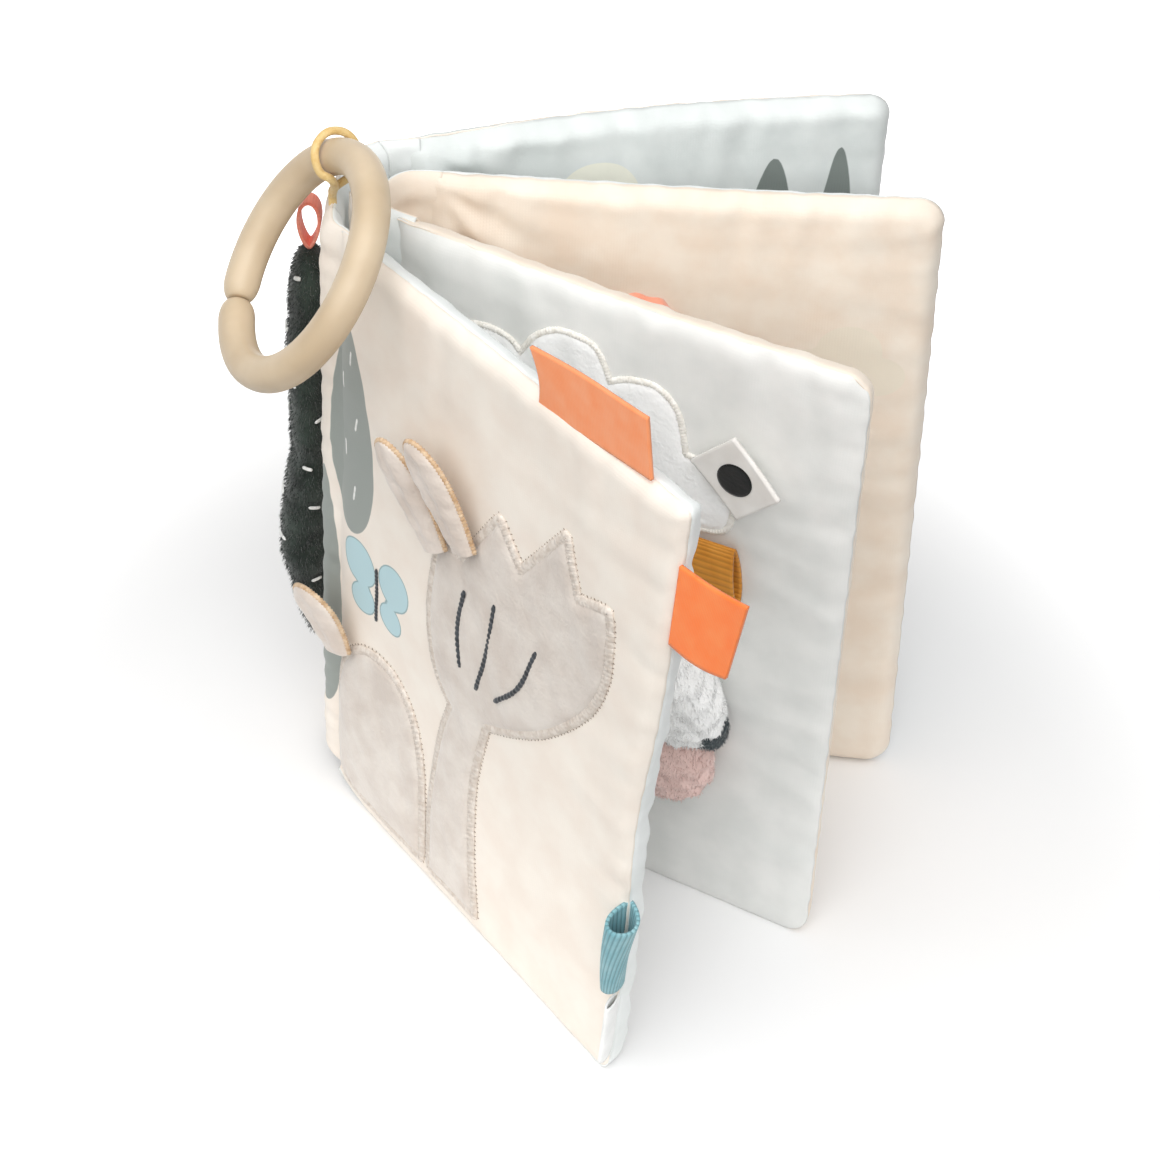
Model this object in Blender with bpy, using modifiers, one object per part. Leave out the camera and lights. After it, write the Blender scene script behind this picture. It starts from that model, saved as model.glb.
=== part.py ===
"""A baby's cloth activity book that stands open on its edge.

The cover is one outer sheet: front cover, soft spine and back cover.  The inner sheet is folded
in the middle into two pages and sewn to the spine.  Each of the four leaves is two cloth faces
sewn round thin wadding.  A split teething ring hangs by a cord loop from the spine's top seam.
Metres, +Z up; seen from above the leaves fan out from the spine towards +X, and the front
cover is the leaf nearest -Y.
"""

import math

import bmesh
import bpy
from mathutils import Matrix, Vector

# Leaves
LEAF_WIDTH = 0.127
LEAF_HEIGHT = 0.170
LEAF_THICKNESS = 0.0080
LEAF_CORNER = 0.0050
SEAM_EDGE = 0.0016
CLOTH = 0.0006
CLEARANCE = 0.0003
HINGE_ALLOWANCE = 0.0055
WADDING_INSET = 0.0016
WADDING_ROUND = 0.0024
FILM_THICKNESS = 0.0004
FILM_INSET = 0.0090
MERGE = 0.00001
SMOOTH_ANGLE = 40.0

# Opening angles of the leaves from +X, seen from above
FRONT_COVER_ANGLE = -50.8
PAGE_A_ANGLE = -26.2
PAGE_B_ANGLE = -1.5
BACK_COVER_ANGLE = 16.3

# Spine: the distance from the front cover's hinge line to the back cover's, seen from above,
# and the places of the hinge lines as shares of it
SPINE_SPAN = 0.033
SPINE_THICKNESS = 0.0048
SPINE_BULGE = 0.0115
FRONT_COVER_HINGE_SHARES = (-0.2576, -0.4576)
PAGE_A_HINGE_SHARES = (0.0758, -0.2848)
PAGE_B_HINGE_SHARES = (0.1848, 0.2000)
BACK_COVER_HINGE_SHARES = (0.0, 0.5424)
BACK_AXIS_SHARES = (0.0091, 0.3712)
SPINE_END_SHARES = (-0.345, 0.33)
SPINE_SIDE_SHARES = (0.955, 0.86)
SPINE_CROWN_SHARE = 0.45
FRONT_BEND_SHARES = (0.35, -0.80)
BACK_BEND_SHARES = (-0.60, 0.75)
SPINE_DROP = 0.0008
CORD_POCKET = 0.0060
FOLD_CLOTH = 0.0009
TAPE_THICKNESS = 0.0018
TAPE_PLACE_SHARE = -0.075
FOLD_TIP_SHARE = 0.055

# Split ring and its cord
RING_RADIUS = 0.02625
RING_TUBE = 0.0041
RING_POINTS = 44
RING_END_POINTS = 4
RING_END_SHARE = 0.985
RING_GAP = 0.0005
RING_GAP_ANGLE = 56.0
RING_CENTRE_SHARES = (-0.4236, -0.8082)
RING_DROP = 0.0056
RING_NORMAL_SHARES = (-0.787, -0.257, 0.560)
CORD_RADIUS = 0.0011
CORD_SLACK = 0.0006
CORD_FOOT_SHARE = -0.185
CORD_FOOT_SPREAD = 0.0026
CORD_CROSSING_ANGLE = 308.0
CORD_WRAP_ANGLE = 300.0
CORD_WRAP_POINTS = 9

# Plush picture on the front cover: a hill and a tulip, as shares of the leaf's width and height
PLUSH = 0.0018
PLUSH_ROUND = 0.0005
HILL_SHARES = ((0.055, 0.036), (0.055, 0.180), (0.085, 0.270), (0.155, 0.325), (0.245, 0.330),
               (0.315, 0.290), (0.355, 0.215), (0.368, 0.130), (0.370, 0.036))
HILL_CORNERS = (0, 8)
TULIP_SHARES = ((0.400, 0.036), (0.398, 0.160), (0.418, 0.300), (0.450, 0.385), (0.398, 0.430),
                (0.372, 0.515), (0.376, 0.600), (0.392, 0.668), (0.458, 0.655), (0.560, 0.775),
                (0.625, 0.718), (0.735, 0.835), (0.778, 0.752), (0.866, 0.780), (0.874, 0.680),
                (0.835, 0.590), (0.745, 0.505), (0.650, 0.450), (0.560, 0.410), (0.528, 0.290),
                (0.540, 0.150), (0.562, 0.036))
TULIP_CORNERS = (0, 3, 7, 8, 9, 10, 11, 12, 13, 18, 21)

# Loose flaps on the front cover: length, width, place and lean
FLAP_THICKNESS = 0.0022
FLAP_BELLY_SHARE = 0.35
FLAP_FOOT_SHARE = 0.62
FLAP_WIDEST_SHARE = 0.87
FLAP_TIP_SHARE = 0.60
FLAP_TIP_ROUND_SHARE = 0.88
PETAL_LENGTH = 0.030
PETAL_WIDTH = 0.0124
PETAL_CURL = 0.0028
PETAL_LEFT_SHARES = (0.402, 0.650)
PETAL_RIGHT_SHARES = (0.489, 0.690)
PETAL_TURN = 25.0
PETAL_LEAN = 9.0
LEAF_FLAP_LENGTH = 0.0205
LEAF_FLAP_WIDTH = 0.0165
LEAF_FLAP_SHARES = (0.092, 0.302)
LEAF_FLAP_TURN = 20.0
LEAF_FLAP_LEAN = 10.0

# Ribbon labels and loops on the leaves' edges
RIBBON = 0.0008
RIBBON_GAP = 0.0007
LOOP_FOOT_SHARE = 0.40
TOP_TAG_LENGTH = 0.0375
TOP_TAG_HEIGHT = 0.0150
TOP_TAG_PLACE_SHARE = 0.776
TOP_TAG_BOW = 0.0004
SIDE_TAG_LENGTH = 0.0195
SIDE_TAG_HEIGHT = 0.0235
SIDE_TAG_PLACE_SHARE = 0.862
SIDE_TAG_BOW = 0.0004
TEAL_WIDTH = 0.0250
TEAL_REACH = 0.0115
TEAL_DEPTH = 0.0072
TEAL_ANGLE = -85.0
TEAL_PLACE_SHARE = 0.225
CARE_WIDTH = 0.0180
CARE_REACH = 0.0075
CARE_PLACE_SHARE = 0.082
CARE_BOW = 0.0022
MUSTARD_WIDTH = 0.0165
MUSTARD_REACH = 0.0145
MUSTARD_DEPTH = 0.0046
MUSTARD_SHARES = (0.795, 0.676)

# Page A: cloud, flap with a spot, and a stuffed toadstool
CLOUD_SHARES = ((0.110, 0.775), (0.165, 0.845), (0.235, 0.848), (0.300, 0.905), (0.385, 0.908),
                (0.450, 0.868), (0.515, 0.897), (0.590, 0.890), (0.642, 0.855), (0.667, 0.800),
                (0.728, 0.788), (0.764, 0.745), (0.754, 0.705), (0.715, 0.686), (0.640, 0.684),
                (0.540, 0.692), (0.420, 0.700), (0.300, 0.694), (0.175, 0.705))
CLOUD_CORNERS = (2, 5, 9)
FELT = 0.0011
EDGE_ROUND_SHARE = 0.333
FLAP_SIDE = 0.0175
FLAP_SHARES = (0.737, 0.772)
FLAP_TURN = 43.0
FLAP_LEAN = 9.0
SPOT_RADIUS = 0.0046
SPOT_THICKNESS = 0.0006
SPOT_SIDES = 20
CAP_WIDTH = 0.040
CAP_HEIGHT = 0.031
CAP_DEPTH = 0.0165
CAP_SHARES = (0.655, 0.425)
CAP_SAG_SHARE = 0.20
CAP_BROW_SHARE = 0.40
CAP_TAPER_SHARE = 0.30
STALK_WIDTH = 0.0335
STALK_HEIGHT = 0.0340
STALK_DEPTH = 0.0135
STALK_DROP = 0.0165
STALK_TAPER_SHARE = 0.12
BUTTON_WIDTH = 0.0135
BUTTON_HEIGHT = 0.0100
BUTTON_DEPTH = 0.0100
BUTTON_SHARES = (0.430, -0.30)

# Page B and back cover
SUN_SHARES = (0.437, 0.770)
SUN_RADIUS = 0.0125
SUN_THICKNESS = 0.0028
SUN_RAYS = 24

# Stuffed bush behind the spine, and its loop
BUSH_DEPTH = 0.0160
BUSH_THICKNESS = 0.0098
BUSH_TOP_SHARE = 0.872
BUSH_BOTTOM_SHARE = 0.165
BUSH_PLACE_SHARE = 0.150
BUSH_SEGMENTS = 12
BUSH_LOBES_SHARES = (0.22, 0.62, 0.80, 0.88, 0.90, 0.93, 0.97, 1.0, 1.0, 0.97, 0.88, 0.66, 0.24)
CORAL_WIDTH = 0.0045
CORAL_HEIGHT = 0.0125
CORAL_DEPTH = 0.0046
CORAL_SHIFT = 0.0010

COLLECTION = "cloth_activity_book"
CUTTERS = "cutters"


def rgb(hex_code):
    """sRGB hex to the linear values that a shader socket takes."""
    values = []
    for i in (1, 3, 5):
        c = int(hex_code[i:i + 2], 16) / 255.0
        values.append(c / 12.92 if c <= 0.04045 else ((c + 0.055) / 1.055) ** 2.4)
    return (*values, 1.0)


def material(name, hex_code, roughness):
    """One plain Principled material, made once."""
    made = bpy.data.materials.get(name)
    if made:
        return made
    made = bpy.data.materials.new(name)
    made.use_nodes = True
    shader = made.node_tree.nodes["Principled BSDF"]
    shader.inputs["Base Color"].default_value = rgb(hex_code)
    shader.inputs["Roughness"].default_value = roughness
    shader.inputs["Metallic"].default_value = 0.0
    return made


def cream():
    return material("cream_cotton", "#F2E6DA", 0.85)


def mint():
    return material("mint_cotton", "#DFE6E4", 0.85)


def peach():
    return material("peach_cotton", "#EAD3C0", 0.85)


def plush():
    return material("greige_plush", "#DDD3CB", 0.95)


def white_fill():
    return material("polyester_wadding", "#F4F4F2", 0.95)


def start_scene():
    """Empties the scene and makes the collection that holds the book."""
    for item in list(bpy.data.objects):
        bpy.data.objects.remove(item, do_unlink=True)
    for name in (COLLECTION, CUTTERS):
        group = bpy.data.collections.new(name)
        bpy.context.scene.collection.children.link(group)


def add_object(name, data, finish, parent, place=(0.0, 0.0, 0.0)):
    """Links one named object under its parent and gives it its material."""
    item = bpy.data.objects.new(name, data)
    bpy.data.collections[COLLECTION].objects.link(item)
    item.parent = parent
    item.location = place
    data.materials.append(finish)
    return item


def add_axis(name, place, angle, parent):
    """An empty on a hinge line; angle turns it about +Z."""
    empty = bpy.data.objects.new(name, None)
    bpy.data.collections[COLLECTION].objects.link(empty)
    empty.parent = parent
    empty.location = place
    empty.rotation_euler = (0.0, 0.0, math.radians(angle))
    return empty


def mesh_from(bm, name):
    """Mesh data from a bmesh, shaded smooth with sharp edges kept."""
    data = bpy.data.meshes.new(name)
    bm.to_mesh(data)
    bm.free()
    data.shade_smooth()
    data.set_sharp_from_angle(angle=math.radians(SMOOTH_ANGLE))
    return data


def add_wall(item, thickness):
    """Solidify inwards from the modelled surface."""
    wall = item.modifiers.new("wall", "SOLIDIFY")
    wall.thickness = thickness
    wall.offset = -1.0
    wall.use_even_offset = True
    return wall


def spine_point(shares):
    """A place beside the spine, seen from above, from its shares of the spine's span."""
    return Vector((shares[0] * SPINE_SPAN, shares[1] * SPINE_SPAN))


def leaf_point(shares):
    """A place on a leaf's plane from its shares of the leaf's width and height."""
    return shares[0] * LEAF_WIDTH, shares[1] * LEAF_HEIGHT


def spaced(first, last, count):
    """Even steps from first to last, both included."""
    return [first + (last - first) * i / (count - 1) for i in range(count)]


def smooth_path(points, count):
    """Even samples on a Catmull-Rom curve through the points."""
    padded = [points[0] * 2.0 - points[1]] + list(points) + [points[-1] * 2.0 - points[-2]]
    samples = []
    for i in range(len(points) - 1):
        a, b, c, d = padded[i:i + 4]
        last = 1 if i == len(points) - 2 else 0
        for k in range(count + last):
            t = k / count
            samples.append(0.5 * ((2.0 * b) + (c - a) * t + (2.0 * a - 5.0 * b + 4.0 * c - d) * t * t
                                  + (3.0 * b - a - 3.0 * c + d) * t ** 3))
    return samples


# Leaves

def rim_profile():
    """Distance in from the edge and height over the seam, from the rim to the flat middle."""
    half = LEAF_THICKNESS / 2.0
    rise = half - SEAM_EDGE
    run = LEAF_CORNER
    arc = [(run * (1.0 - math.cos(a)), SEAM_EDGE + rise * math.sin(a))
           for a in spaced(0.0, math.pi / 2.0, 4)]
    return [(0.0, CLEARANCE / 2.0)] + arc


def round_corner(u, v, u_size, v_size):
    """Moves a point of the leaf's grid so that the corners are quarter circles."""
    du = min(u, u_size - u)
    dv = min(v, v_size - v)
    a = LEAF_CORNER - du
    b = LEAF_CORNER - dv
    if a <= 0.0 or b <= 0.0:
        return u, v
    reach = max(a, b) / math.hypot(a, b)
    new_du = LEAF_CORNER - a * reach
    new_dv = LEAF_CORNER - b * reach
    return (new_du if u < u_size / 2.0 else u_size - new_du,
            new_dv if v < v_size / 2.0 else v_size - new_dv)


def leaf_cloth(name, side, finish, parent, shift):
    """One cloth face of a leaf: flat in the middle, with a rounded rim down to the seam.

    side is -1 for the face towards the front cover's outside and +1 for the other face.
    shift is the leaf's mid plane from the parent's axis, along the leaf and across it.
    """
    width = LEAF_WIDTH - HINGE_ALLOWANCE
    profile = rim_profile()
    near = [d for d, _ in profile]
    heights = [h for _, h in profile]
    middle_u = spaced(near[-1], width - near[-1], 3)[1:-1]
    middle_v = spaced(near[-1], LEAF_HEIGHT - near[-1], 4)[1:-1]
    u_lines = near + middle_u + [width - d for d in reversed(near)]
    v_lines = near + middle_v + [LEAF_HEIGHT - d for d in reversed(near)]
    levels_u = heights + [heights[-1]] * len(middle_u) + heights[::-1]
    levels_v = heights + [heights[-1]] * len(middle_v) + heights[::-1]
    nu = len(u_lines) - 1
    nv = len(v_lines) - 1
    bm = bmesh.new()
    bmesh.ops.create_grid(bm, x_segments=nu, y_segments=nv, size=0.5)
    for vert in bm.verts:
        i = round((vert.co.x + 0.5) * nu)
        j = round((vert.co.y + 0.5) * nv)
        u, v = round_corner(u_lines[i], v_lines[j], width, LEAF_HEIGHT)
        height = min(levels_u[i], levels_v[j])
        vert.co = (HINGE_ALLOWANCE + u + shift[0], side * height + shift[1], v)
    bmesh.ops.remove_doubles(bm, verts=bm.verts, dist=MERGE)
    if side > 0:
        bmesh.ops.reverse_faces(bm, faces=bm.faces)
    item = add_object(name, mesh_from(bm, name), finish, parent)
    add_wall(item, CLOTH)
    return item


def leaf_box(name, inset, thickness, lift, rounding, finish, parent, shift):
    """A flat closed sheet inside a leaf, such as its wadding or its crackling film."""
    width = LEAF_WIDTH - HINGE_ALLOWANCE
    bm = bmesh.new()
    bmesh.ops.create_cube(bm, size=1.0)
    size = Vector((width - 2.0 * inset, thickness, LEAF_HEIGHT - 2.0 * inset))
    centre = Vector((HINGE_ALLOWANCE + width / 2.0 + shift[0], lift + shift[1], LEAF_HEIGHT / 2.0))
    bmesh.ops.transform(bm, matrix=Matrix.Translation(centre) @ Matrix.Diagonal((*size, 1.0)),
                        verts=bm.verts)
    item = add_object(name, mesh_from(bm, name), finish, parent)
    if rounding:
        edge = item.modifiers.new("round", "BEVEL")
        edge.width = rounding
        edge.segments = 2
        edge.limit_method = "NONE"
    return item


def wadding_thickness():
    return LEAF_THICKNESS - 2.0 * (CLOTH + CLEARANCE)


def make_leaf(prefix, outer, inner, parent, shift, film=False):
    """A leaf: two cloth faces round its wadding, and a film beside it where the leaf crackles."""
    leaf_cloth(prefix + "_outer_cloth", -1, outer, parent, shift)
    leaf_cloth(prefix + "_inner_cloth", 1, inner, parent, shift)
    room = FILM_THICKNESS + CLEARANCE if film else 0.0
    leaf_box(prefix + "_wadding", WADDING_INSET, wadding_thickness() - room, -room / 2.0,
             WADDING_ROUND, white_fill(), parent, shift)
    if film:
        lift = wadding_thickness() / 2.0 - FILM_THICKNESS / 2.0
        leaf_box(prefix + "_crackle_film", FILM_INSET, FILM_THICKNESS, lift, 0.0,
                 material("crackle_film", "#E9EDF0", 0.3), parent, shift)


# Appliques and flaps

def outline_patch(name, shares, corners, finish, parent):
    """A plush patch from a closed outline, lying on the leaf's outer face.

    The outline is in shares of the leaf's width and height; corners lists its sharp points.
    """
    curve = bpy.data.curves.new(name, "CURVE")
    curve.dimensions = "2D"
    curve.fill_mode = "BOTH"
    curve.extrude = PLUSH / 2.0 - PLUSH_ROUND
    curve.bevel_depth = PLUSH_ROUND
    curve.bevel_resolution = 0
    curve.resolution_u = 3
    curve.render_resolution_u = 0
    spline = curve.splines.new("BEZIER")
    spline.bezier_points.add(len(shares) - 1)
    spline.use_cyclic_u = True
    for i, (point, share) in enumerate(zip(spline.bezier_points, shares)):
        u, v = leaf_point(share)
        point.co = (u, v, 0.0)
        kind = "VECTOR" if i in corners else "AUTO"
        point.handle_left_type = kind
        point.handle_right_type = kind
    item = add_object(name, curve, finish, parent)
    item.location = (0.0, -(outer_face() + PLUSH / 2.0), 0.0)
    item.rotation_euler = (math.pi / 2.0, 0.0, 0.0)
    weld = item.modifiers.new("weld", "WELD")
    weld.merge_threshold = MERGE
    return item


def petal(name, length, width, curl, place, base, turn, lean, finish, parent):
    """A soft flap that widens from its sewn foot and curls outwards, on its own hinge line."""
    rows = 6
    bm = bmesh.new()
    bmesh.ops.create_grid(bm, x_segments=4, y_segments=rows, size=0.5)
    for vert in bm.verts:
        across = vert.co.x * 2.0
        along = vert.co.y + 0.5
        grown = math.sin(math.pi / 2.0 * min(along / FLAP_WIDEST_SHARE, 1.0))
        shape = FLAP_FOOT_SHARE + (1.0 - FLAP_FOOT_SHARE) * grown
        beyond = max(0.0, along - FLAP_TIP_SHARE) / (1.0 - FLAP_TIP_SHARE)
        half = width / 2.0 * shape * math.sqrt(1.0 - beyond * beyond * FLAP_TIP_ROUND_SHARE)
        belly = FLAP_THICKNESS * FLAP_BELLY_SHARE * (1.0 - across * across)
        vert.co = (across * half, -curl * along * along - belly, along * length)
    data = mesh_from(bm, name)
    item = add_object(name, data, finish, parent)
    wall = add_wall(item, FLAP_THICKNESS)
    wall.offset = 0.0
    wall.use_even_offset = False
    u, v = leaf_point(place)
    item.location = (u, -(base + FLAP_THICKNESS / 2.0), v)
    item.rotation_euler = (Matrix.Rotation(math.radians(-turn), 3, "Y")
                           @ Matrix.Rotation(math.radians(lean), 3, "X")).to_euler()
    return item


def ribbon_strip(name, path, width, thickness, finish, parent, place, closed=False):
    """A ribbon whose path is seen from above and whose width stands up along +Z."""
    bm = bmesh.new()
    low = [bm.verts.new((p[0], p[1], 0.0)) for p in path]
    edges = [bm.edges.new((a, b)) for a, b in zip(low, low[1:])]
    if closed:
        edges.append(bm.edges.new((low[-1], low[0])))
    grown = bmesh.ops.extrude_edge_only(bm, edges=edges)
    top = [e for e in grown["geom"] if isinstance(e, bmesh.types.BMVert)]
    bmesh.ops.translate(bm, verts=top, vec=(0.0, 0.0, width))
    bmesh.ops.recalc_face_normals(bm, faces=bm.faces)
    item = add_object(name, mesh_from(bm, name), finish, parent, place)
    wall = add_wall(item, thickness)
    wall.offset = 0.0
    return item


def loop_path(reach, depth, count):
    """A closed teardrop from its sewn foot at the origin: reach outwards along X, depth across.

    Its half depth grows with the sine of the angle round the loop, and more slowly near the foot.
    """
    turns = [2.0 * math.pi * i / count for i in range(count)]
    swells = [math.sin(a) * (LOOP_FOOT_SHARE + (1.0 - LOOP_FOOT_SHARE) * math.sin(a / 2.0))
              for a in turns]
    widest = max(swells)
    return [Vector((0.5 * (1.0 - math.cos(a)) * (reach - RIBBON), 0.5 * (depth - RIBBON) * swell / widest))
            for a, swell in zip(turns, swells)]


def stuffed(name, size, finish, parent, place, squeeze=None, levels=2):
    """A soft swelling form: a subdivided cube cage, shaped by squeeze(x, y, z) in -1 to 1.

    size is the cage's size; subdivision rounds the form off inside it.
    """
    bm = bmesh.new()
    bmesh.ops.create_cube(bm, size=2.0)
    bmesh.ops.subdivide_edges(bm, edges=bm.edges, cuts=1, use_grid_fill=True)
    for vert in bm.verts:
        x, y, z = vert.co
        if squeeze:
            x, y, z = squeeze(x, y, z)
        vert.co = (x * size[0] / 2.0, y * size[1] / 2.0, z * size[2] / 2.0)
    item = add_object(name, mesh_from(bm, name), finish, parent, place)
    soft = item.modifiers.new("soft", "SUBSURF")
    soft.levels = levels
    soft.render_levels = levels
    return item


def seat_against(item, neighbour, grow):
    """Cuts item back where neighbour stands, with the clearance that grow leaves round it."""
    cutter = bpy.data.objects.new(item.name + "_cutter", neighbour.data.copy())
    bpy.data.collections[CUTTERS].objects.link(cutter)
    cutter.parent = neighbour.parent
    cutter.location = neighbour.location
    cutter.scale = grow
    cutter.hide_render = True
    cutter.display_type = "WIRE"
    soft = cutter.modifiers.new("soft", "SUBSURF")
    soft.levels = neighbour.modifiers["soft"].levels
    soft.render_levels = soft.levels
    cut = item.modifiers.new("seat", "BOOLEAN")
    cut.operation = "DIFFERENCE"
    cut.object = cutter
    cut.solver = "EXACT"


# Spine

def spine_outline():
    """The spine's outer side, seen from above, from the front hinge to the back hinge."""
    front, back = SPINE_END_SHARES
    first = Vector((-SPINE_BULGE * SPINE_SIDE_SHARES[0], front * SPINE_SPAN))
    last = Vector((-SPINE_BULGE * SPINE_SIDE_SHARES[1], back * SPINE_SPAN))
    middle = Vector((-SPINE_BULGE, first.y + (last.y - first.y) * SPINE_CROWN_SHARE))
    return smooth_path([first, middle, last], 4)


def offset_path(path, distance):
    """A path moved to its right-hand side by distance."""
    moved = []
    for i, point in enumerate(path):
        ahead = path[min(i + 1, len(path) - 1)] - path[max(i - 1, 0)]
        ahead.normalize()
        moved.append(point + Vector((ahead.y, -ahead.x)) * distance)
    return moved


def wall_strip(name, path, low, high, thickness, finish, parent):
    """An upright strip of cloth of the given thickness, centred on the path."""
    return ribbon_strip(name, path, high - low, thickness, finish, parent, (0.0, 0.0, low))


def make_spine(root):
    """Outer cloth, wadding and lining of the spine, and the tape that holds the pages' fold."""
    outline = spine_outline()
    low = 0.0
    high = LEAF_HEIGHT - SPINE_DROP
    half_cloth = CLOTH / 2.0
    inner = SPINE_THICKNESS - CLOTH
    wall_strip("spine_outer_cloth", offset_path(outline, half_cloth), low, high, CLOTH, cream(), root)
    wall_strip("spine_lining", offset_path(outline, inner + half_cloth), low, high, CLOTH, mint(), root)
    fill = inner - CLOTH - 2.0 * CLEARANCE
    fill_path = offset_path(outline, CLOTH + CLEARANCE + fill / 2.0)
    wall_strip("spine_wadding", fill_path, SPINE_DROP, LEAF_HEIGHT - CORD_POCKET - SPINE_DROP, fill,
               white_fill(), root)
    lining_face = -SPINE_BULGE + SPINE_THICKNESS + CLEARANCE + CLOTH
    tip = FOLD_TIP_SHARE * SPINE_SPAN
    y = TAPE_PLACE_SHARE * SPINE_SPAN
    tape_path = [Vector((lining_face, y)), Vector((tip - CLOTH - CLEARANCE, y))]
    wall_strip("binding_tape", tape_path, SPINE_DROP, high - SPINE_DROP, TAPE_THICKNESS, cream(), root)
    return outline


def on_leaf(hinge_shares, angle, along, across):
    """A point seen from above: along a leaf from its hinge line, and across its mid plane."""
    a = math.radians(angle)
    hinge = spine_point(hinge_shares)
    ahead = Vector((math.cos(a), math.sin(a)))
    return hinge + ahead * along + Vector((-ahead.y, ahead.x)) * across


def make_hinge_cloths(root, outline):
    """The bends of cloth between the spine and the leaves, which give as the leaves turn."""
    low = SPINE_DROP
    high = LEAF_HEIGHT - SPINE_DROP
    face = LEAF_THICKNESS / 2.0 - CLOTH / 2.0
    edge = HINGE_ALLOWANCE - CLEARANCE - CLOTH
    seam = SEAM_EDGE / 2.0
    outer = offset_path(outline, CLOTH / 2.0)
    lining = offset_path(outline, SPINE_THICKNESS - CLOTH / 2.0)
    gap = CLEARANCE + CLOTH
    front_start = outer[0] + (outer[0] - outer[1]).normalized() * gap
    front_end = on_leaf(FRONT_COVER_HINGE_SHARES, FRONT_COVER_ANGLE, edge, -seam)
    front_mid = on_leaf(FRONT_COVER_HINGE_SHARES, FRONT_COVER_ANGLE, edge * FRONT_BEND_SHARES[0],
                        face * FRONT_BEND_SHARES[1])
    wall_strip("front_hinge_cloth", smooth_path([front_start, front_mid, front_end], 4), low, high, CLOTH,
               cream(), root)
    lining_start = lining[0] + (lining[0] - lining[1]).normalized() * gap
    lining_end = on_leaf(FRONT_COVER_HINGE_SHARES, FRONT_COVER_ANGLE, edge, seam)
    wall_strip("front_hinge_lining", smooth_path([lining_start, lining_end], 3), low, high, CLOTH,
               mint(), root)
    back_start = outer[-1] + (outer[-1] - outer[-2]).normalized() * gap
    back_end = on_leaf(BACK_COVER_HINGE_SHARES, BACK_COVER_ANGLE, edge, seam)
    back_mid = on_leaf(BACK_COVER_HINGE_SHARES, BACK_COVER_ANGLE, edge * BACK_BEND_SHARES[0],
                       face * BACK_BEND_SHARES[1])
    wall_strip("back_hinge_cloth", smooth_path([back_start, back_mid, back_end], 4), low, high, CLOTH,
               cream(), root)
    lining_back = lining[-1] + (lining[-1] - lining[-2]).normalized() * gap
    lining_stop = on_leaf(BACK_COVER_HINGE_SHARES, BACK_COVER_ANGLE, edge, -seam)
    wall_strip("back_hinge_lining", smooth_path([lining_back, lining_stop], 3), low, high, CLOTH,
               mint(), root)
    tip = Vector((FOLD_TIP_SHARE * SPINE_SPAN, TAPE_PLACE_SHARE * SPINE_SPAN))
    page_a = on_leaf(PAGE_A_HINGE_SHARES, PAGE_A_ANGLE, edge, 0.0)
    page_b = on_leaf(PAGE_B_HINGE_SHARES, PAGE_B_ANGLE, edge, 0.0)
    mid_a = on_leaf(PAGE_A_HINGE_SHARES, PAGE_A_ANGLE, 0.0, seam)
    mid_b = on_leaf(PAGE_B_HINGE_SHARES, PAGE_B_ANGLE, 0.0, -seam)
    wall_strip("page_fold_cloth", smooth_path([page_a, mid_a, tip, mid_b, page_b], 3), low, high,
               FOLD_CLOTH, peach(), root)


def outline_depth(outline, y):
    """How far out the spine's outer side lies at y, read along its outline."""
    for a, b in zip(outline, outline[1:]):
        if a.y <= y <= b.y:
            return a.x + (b.x - a.x) * (y - a.y) / (b.y - a.y)
    return min(p.x for p in outline)


def make_bush(root, outline):
    """The stuffed bush that swells out behind the spine, and the coral loop on its top."""
    height = (BUSH_TOP_SHARE - BUSH_BOTTOM_SHARE) * LEAF_HEIGHT
    bottom = BUSH_BOTTOM_SHARE * LEAF_HEIGHT
    y = BUSH_PLACE_SHARE * SPINE_SPAN
    bm = bmesh.new()
    bmesh.ops.create_cone(bm, cap_ends=True, segments=BUSH_SEGMENTS, radius1=0.5, radius2=0.5, depth=1.0)
    sides = [e for e in bm.edges if abs(e.verts[0].co.z - e.verts[1].co.z) > 0.5]
    rows = len(BUSH_LOBES_SHARES)
    bmesh.ops.subdivide_edges(bm, edges=sides, cuts=rows - 2)
    x = outline_depth(outline, y) - CLEARANCE - BUSH_THICKNESS / 2.0
    for vert in bm.verts:
        swell = BUSH_LOBES_SHARES[round((vert.co.z + 0.5) * (rows - 1))]
        vert.co = (x + vert.co.x * BUSH_THICKNESS * swell,
                   y + vert.co.y * BUSH_DEPTH * swell,
                   bottom + height * (vert.co.z + 0.5))
    green = material("dark_green_plush", "#333D38", 0.95)
    add_object("bush_plush", mesh_from(bm, "bush_plush"), green, root)
    place = (x, y + CORAL_WIDTH / 2.0 + CORAL_SHIFT, bottom + height + RIBBON_GAP)
    loop = ribbon_strip("coral_loop", loop_path(CORAL_HEIGHT, CORAL_DEPTH, 14), CORAL_WIDTH, RIBBON,
                        material("coral_ribbon", "#FF6A50", 0.7), root, place, True)
    loop.rotation_euler = (Matrix.Rotation(math.radians(90.0), 3, "Z")
                           @ Matrix.Rotation(math.radians(-90.0), 3, "Y")).to_euler()


# Ring and cord

def ring_frame():
    """The ring's centre and the two directions that its angles are measured in."""
    centre_2d = spine_point(RING_CENTRE_SHARES)
    centre = Vector((centre_2d.x, centre_2d.y, LEAF_HEIGHT - RING_DROP))
    normal = Vector(RING_NORMAL_SHARES).normalized()
    first = normal.cross(Vector((0.0, 0.0, 1.0))).normalized()
    second = normal.cross(first)
    return centre, first, second, normal


def ring_point(angle):
    centre, first, second, _ = ring_frame()
    a = math.radians(angle)
    return centre + (first * math.cos(a) + second * math.sin(a)) * RING_RADIUS


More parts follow.
